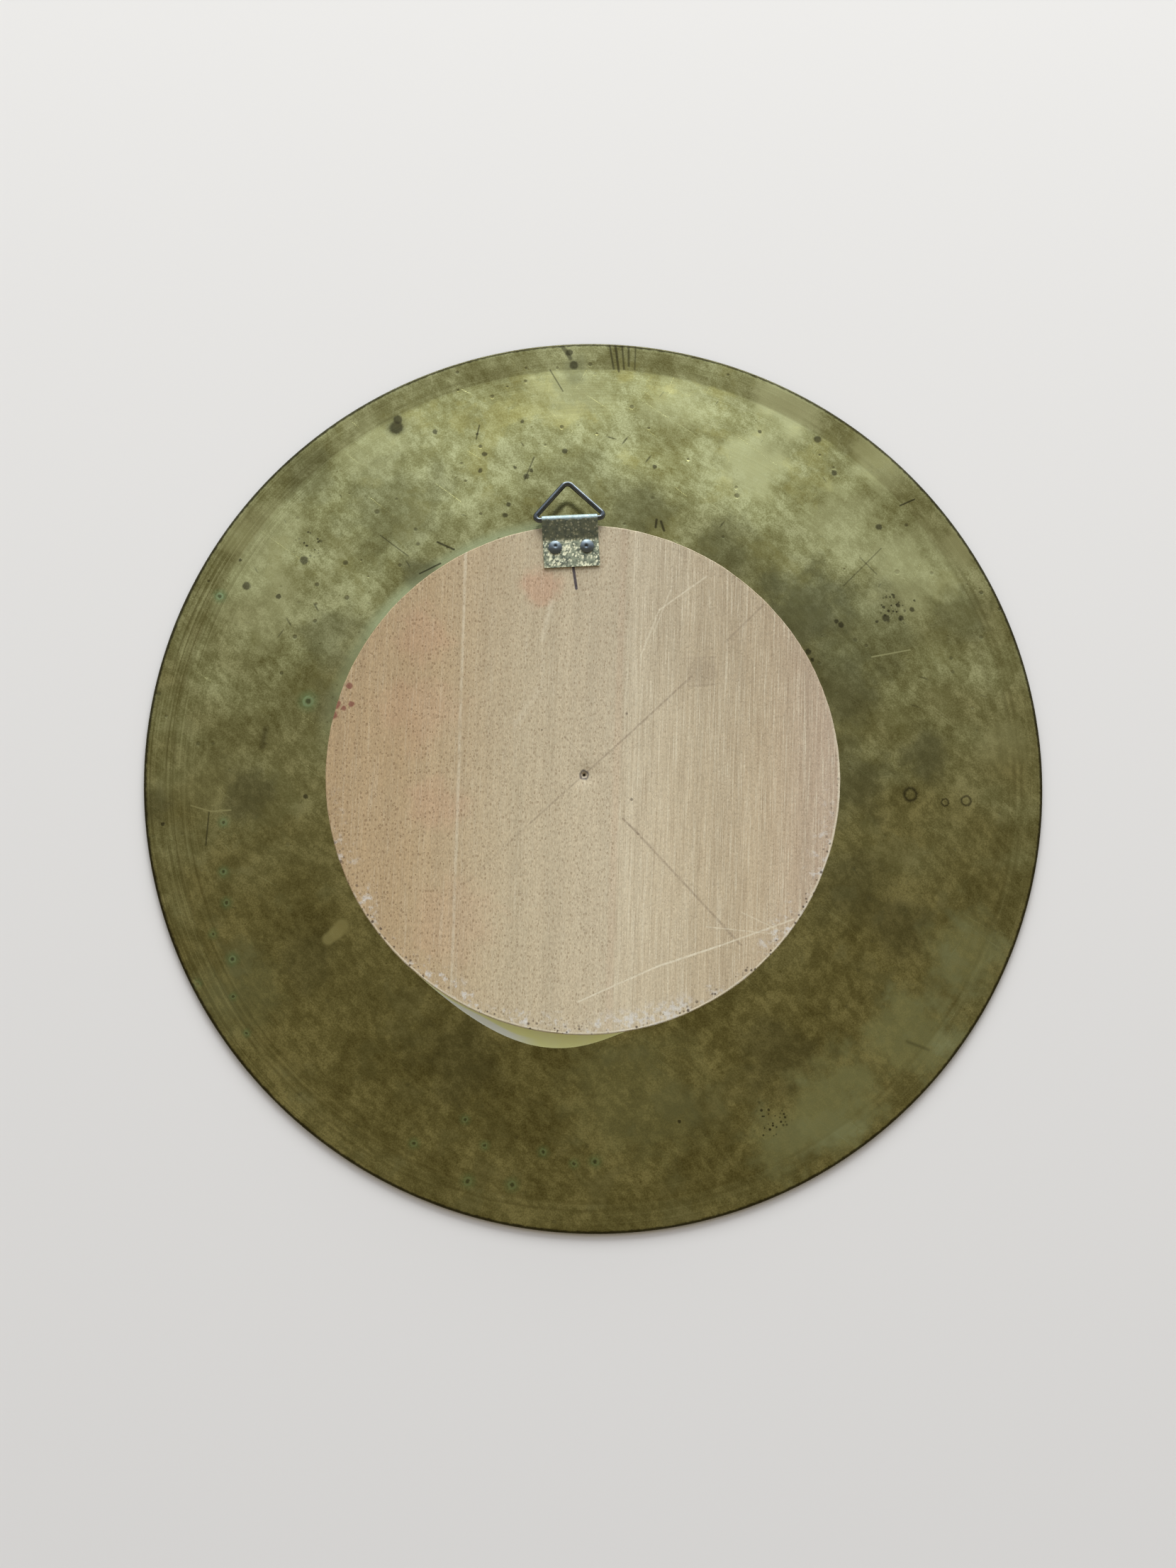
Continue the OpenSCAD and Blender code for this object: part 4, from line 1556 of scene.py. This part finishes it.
@dataclass
class Hanger:
    """The folded strap, the triangular wire ring in its fold, and the two nails."""

    places: Places
    strap_sheet: float = 0.25 * MM
    strap_corner: float = 0.1 * MM
    fold_radius: float = 0.875 * MM
    short_leaf: float = 0.6 * MM
    level_length: float = 7.0 * MM
    knee: float = 0.5 * MM
    wire_radius: float = 0.7 * MM
    wire_sides: int = 24
    half_base: float = 9.6 * MM
    arm_angle: float = 47.0
    corner_radius: float = 0.9 * MM
    apex_radius: float = 1.5 * MM
    droop: float = 7.0
    seam: float = 0.15 * MM
    nail_turns: int = 64
    head_radius: float = 1.7 * MM
    head_height: float = 0.8 * MM
    head_edge: float = 0.35 * MM
    # (step in from the head's radius, height over its seat) round the head's lower edge
    head_lip: tuple[Point2, ...] = ((0.0, 0.12 * MM), (0.08 * MM, 0.02 * MM))
    shank_radius: float = 0.69 * MM
    shank_start: float = 0.01 * MM
    nail_depth: float = 5.4 * MM
    point_length: float = 1.5 * MM
    dent_depth: float = 0.26 * MM
    dent_width: float = 0.38 * MM
    # the dent leaves the head alone below this height over its seat
    dent_floor: float = 0.3 * MM

    def strap_path(self) -> np.ndarray:
        """The strap's middle line: lower leaf, fold, rising leaf and level leaf.

        The rising leaf is the straight line that leaves the fold's circle and meets the level
        leaf at the knee, where four points ease the bend.

        Returns:
            Its points (y, z).
        """
        _, hinge_y, hinge_z = self.places.hinge
        end_y = self.places.strap[0].y
        half = self.strap_sheet / 2
        low = self.places.disc_top + half
        seat = self.places.disc_top + 2 * self.strap_sheet - half
        knee_y = end_y + self.level_length
        gap_y, gap_z = hinge_y - knee_y, hinge_z - seat
        ramp = math.atan2(gap_z, gap_y) + math.asin(self.fold_radius / math.hypot(gap_y, gap_z))
        fold = arc((hinge_y, hinge_z), self.fold_radius, -90.0, 90.0 + math.degrees(ramp), 30)
        ahead, above = self.knee * math.cos(ramp), self.knee * math.sin(ramp)
        soft = np.array([
            [knee_y + ahead, seat + above],
            [knee_y + 0.4 * ahead, seat + 0.32 * above + 0.02 * MM],
            [knee_y - 0.35 * self.knee, seat + 0.012 * MM],
            [knee_y - self.knee, seat],
        ])
        return np.concatenate([
            run((end_y + self.short_leaf, low), (hinge_y, low), 14),
            fold,
            run(tuple(fold[-1]), tuple(soft[0]), 10)[1:],
            soft,
            run(tuple(soft[-1]), (end_y, seat), 16)[1:],
            np.array([[end_y, seat]]),
        ])

    def strap(self) -> bpy.types.Object:
        """The strap: a flat section with rounded edges, carried square to its middle line.

        Returns:
            The object.
        """
        path = self.strap_path()
        square = sideways(path)
        low, high = self.places.strap
        half_width, half = (high.x - low.x) / 2, self.strap_sheet / 2
        corner = self.strap_corner
        spread = np.linspace(1.0, -1.0, 15)[1:-1] * (half_width - corner)
        upper = np.concatenate([
            arc((half_width - corner, half - corner), corner, 0.0, 90.0, 4),
            np.stack([spread, np.full(len(spread), half)], axis=1),
            arc((corner - half_width, half - corner), corner, 90.0, 180.0, 4),
        ])
        section = np.concatenate([upper, -upper])
        x = (high.x + low.x) / 2 + np.broadcast_to(section[:, 0], (len(path), len(section)))
        y = path[:, :1] + square[:, :1] * section[:, 1]
        z = path[:, 1:] + square[:, 1:] * section[:, 1]
        return sweep("folded_strap", np.stack([x, y, z], axis=-1))

    def ring_path(self) -> np.ndarray:
        """The wire's middle line in the ring's plane: half the base, corner, arm, top bend and the mirror.

        Returns:
            Its points (x, y), with the base on y = 0.
        """
        angle = math.radians(self.arm_angle)
        corner_x = self.half_base - self.corner_radius / math.tan(angle / 2)
        apex_y = self.half_base * math.tan(angle) - self.apex_radius / math.cos(angle)
        corner = arc((corner_x, self.corner_radius), self.corner_radius, -90.0, 90.0 - self.arm_angle, 16)
        apex = arc((0.0, apex_y), self.apex_radius, 90.0 - self.arm_angle, 90.0, 12)
        half = np.concatenate([
            run((self.seam, 0.0), (corner_x, 0.0), 24),
            corner,
            run(tuple(corner[-1]), tuple(apex[0]), 30)[1:],
            apex,
        ])
        return np.concatenate([half[:-1] * [-1, 1], half[::-1]])

    def ring(self) -> bpy.types.Object:
        """The ring: a circle carried along the wire's middle line, turned about the hinge by the droop.

        Returns:
            The object.
        """
        path = self.ring_path()
        side = sideways(path)
        turn = np.linspace(0.0, 2 * np.pi, self.wire_sides, endpoint=False)
        flat_x = path[:, :1] + side[:, :1] * np.cos(turn) * self.wire_radius
        flat_y = path[:, 1:] + side[:, 1:] * np.cos(turn) * self.wire_radius
        flat_z = np.broadcast_to(np.sin(turn) * self.wire_radius, flat_x.shape)
        down = math.radians(-self.droop)
        x = self.places.hinge[0] + flat_x
        y = self.places.hinge[1] + flat_y * math.cos(down) - flat_z * math.sin(down)
        z = self.places.hinge[2] + flat_y * math.sin(down) + flat_z * math.cos(down)
        return sweep("triangular_wire_ring", np.stack([x, y, z], axis=-1))

    def dent(self, node: str) -> Point2:
        """Where the dent in a nail's head is, in millimetres."""
        centre, offset = self.places.nails[node], NAIL_DENTS[node]
        return centre[0] / MM + offset[0], centre[1] / MM + offset[1]

    def nail(self, node: str) -> bpy.types.Object:
        """A nail: a dome with a small dent, a shank and a point, turned about its axis.

        Args:
            node: which of the two nails.

        Returns:
            The object.
        """
        top = self.places.head_top
        seat = top - self.head_height
        bulge = self.head_height - self.head_edge
        dome = (self.head_radius**2 + bulge**2) / (2 * bulge)
        spread = math.degrees(math.asin(self.head_radius / dome))
        point = self.places.disc_top - self.nail_depth
        profile = np.concatenate([
            arc((0.0, top - dome), dome, 90.0, 90.0 - spread, 22),
            [[self.head_radius - step, seat + height] for step, height in self.head_lip],
            [[self.shank_radius, seat + self.shank_start], [self.shank_radius, point + self.point_length]],
            [[0.0, point]],
        ])
        profile[0, 0] = 0.0
        middle_x, middle_y = (part * MM for part in self.dent(node))

        def press(points: np.ndarray) -> np.ndarray:
            """Presses the dent into the dome by depth * exp(-(distance / width)^2).

            Args:
                points: the nail's points.

            Returns:
                The pressed points.
            """
            away = np.hypot(points[:, 0] - middle_x, points[:, 1] - middle_y)
            depth = self.dent_depth * np.exp(-((away / self.dent_width) ** 2))
            pressed = points.copy()
            pressed[:, 2] -= np.where(points[:, 2] > seat + self.dent_floor, depth, 0.0)
            return pressed

        return revolve(node + "_domed", profile, self.places.nails[node], self.nail_turns, press)

    def make(self, strap: bpy.types.Material, wire: bpy.types.Material, nail: bpy.types.Material) -> None:
        """Builds and dresses the strap, the ring and the nails.

        Args:
            strap: the strap's finish.
            wire: the ring's finish.
            nail: the nails' finish.
        """
        dress(self.strap(), strap, Body.PLATE, "hanger_strap")
        dress(self.ring(), wire, Body.RING, "hanging_ring")
        for node in NAIL_DENTS:
            dress(self.nail(node), nail, Body.PLATE, node)


# ---------------------------------------------------------------- studio


@dataclass(frozen=True)
class Studio:
    """The plain floor, the soft light and the camera."""

    floor_tone: Colour = srgb(226, 224, 220)
    floor_half: float = 3.0
    floor_drop: float = 0.05 * MM
    backdrop_tone: Colour = srgb(214, 213, 211)
    room_tone: Colour = (0.335, 0.285, 0.205)
    window_tone: Colour = (1.18, 1.29, 1.56)
    horizon_tone: Colour = (0.86, 0.86, 0.86)
    lamp_power: float = 29.0
    lamp_tone: Colour = (0.96, 0.99, 1.0)
    lamp_size: Point2 = (1.3, 0.8)
    lamp_heading: Point3 = (0.1, 0.9, 0.4)
    lamp_distance: float = 1.6
    camera_at: Point3 = (-23.39 * MM, -67.35 * MM, 464.09 * MM)
    forward: Point3 = (0.0447, 0.1385, -0.9893)
    up: Point3 = (0.0518, 0.9887, 0.1408)
    lens: float = 42.31
    sensor: float = 36.0

    def floor(self) -> None:
        """A level floor just under the rim."""
        corners = np.array([[-1.0, -1.0, 0.0], [1.0, -1.0, 0.0], [1.0, 1.0, 0.0], [-1.0, 1.0, 0.0]])
        corners = corners * self.floor_half - [0.0, 0.0, self.floor_drop]
        mesh = bpy.data.meshes.new("studio_floor")
        mesh.from_pydata(corners.tolist(), [], [[0, 1, 2, 3]])
        floor = link("studio_floor", mesh)
        f = Finish("pale_floor")
        f.set(Base_Color=self.floor_tone, Roughness=0.85, Specular_IOR_Level=0.1)
        mesh.materials.append(f.material)

    def sky(self) -> None:
        """A soft room: pale at the horizon, bright on the hanger's side; the camera sees one tone."""
        world = bpy.data.worlds.new("soft_room")
        bpy.context.scene.world = world
        world.use_nodes = True
        w = Wiring(world.node_tree)
        w.tree.nodes.clear()
        across, forth, up = w.parts(w.take("Generated", "TexCoord"))
        window = w.fade(forth + across * 0.04, 0.0, 0.74)
        horizon = w.math("POWER", 1.0 - abs(up), 4.0)
        colour = w.mix(window, self.room_tone, self.window_tone)
        colour = w.mix(horizon * 0.8, colour, self.horizon_tone)
        colour = w.mix(w.take("Is Camera Ray", "LightPath"), colour, self.backdrop_tone)
        w.add("OutputWorld", {"Surface": w.take(0, "Background", {"Color": colour, "Strength": 1.0})})

    def lamp(self) -> None:
        """One large soft lamp on the hanger's side."""
        light = bpy.data.lights.new("window_softbox", "AREA")
        light.shape = "RECTANGLE"
        light.size, light.size_y = self.lamp_size
        light.energy = self.lamp_power
        light.color = self.lamp_tone
        softbox = link("window_softbox", light)
        heading = Vector(self.lamp_heading).normalized()
        turn = heading.to_track_quat("Z", "Y").to_matrix().to_4x4()
        softbox.matrix_world = Matrix.Translation(heading * self.lamp_distance) @ turn

    def camera(self) -> None:
        """The camera, set by where it stands, where it looks and which way is up."""
        data = bpy.data.cameras.new("camera")
        data.lens, data.sensor_width = self.lens, self.sensor
        data.clip_start = 0.01
        camera = link("camera", data)
        back = -Vector(self.forward).normalized()
        right = Vector(self.up).cross(back).normalized()
        turn = Matrix((right, back.cross(right), back)).transposed().to_4x4()
        camera.matrix_world = Matrix.Translation(self.camera_at) @ turn
        bpy.context.scene.camera = camera

    def make(self) -> None:
        """Sets up the whole studio."""
        self.floor()
        self.sky()
        self.lamp()
        self.camera()
        bpy.context.scene.view_settings.view_transform = "Standard"


def main() -> None:
    """Builds every piece in order, then the studio."""
    logging.basicConfig(level=logging.INFO, format="%(name)s: %(message)s")
    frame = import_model()
    places = Places.read(frame)

    plate = SpunPlate(places)
    plate.make(BrassFinish().make())

    # the glue bed's two tones are darkened as painted shade, for glue seen under the disc's edge
    bed = GlueFinish("glue_bed_film", srgb(142, 132, 84), srgb(158, 150, 112))
    bead = GlueFinish("glossy_glue")
    BackingDisc(places, plate).make(BeechFinish().make(), bed.make(), bead.make())

    hanger = Hanger(places)
    knee_y = (places.strap[0].y + hanger.level_length) / MM
    strap = StrapFinish().make(places.hinge[1] / MM, knee_y)
    wire = SteelFinish("dark_wire", srgb(92, 97, 98), srgb(56, 59, 58), 0.06)
    dents = tuple(hanger.dent(node) for node in NAIL_DENTS)
    nail = SteelFinish("nail_steel", srgb(110, 119, 122), srgb(76, 82, 84), 0.36, dents)
    hanger.make(strap, wire.make(), nail.make())

    Studio().make()


if __name__ == "__main__":
    main()
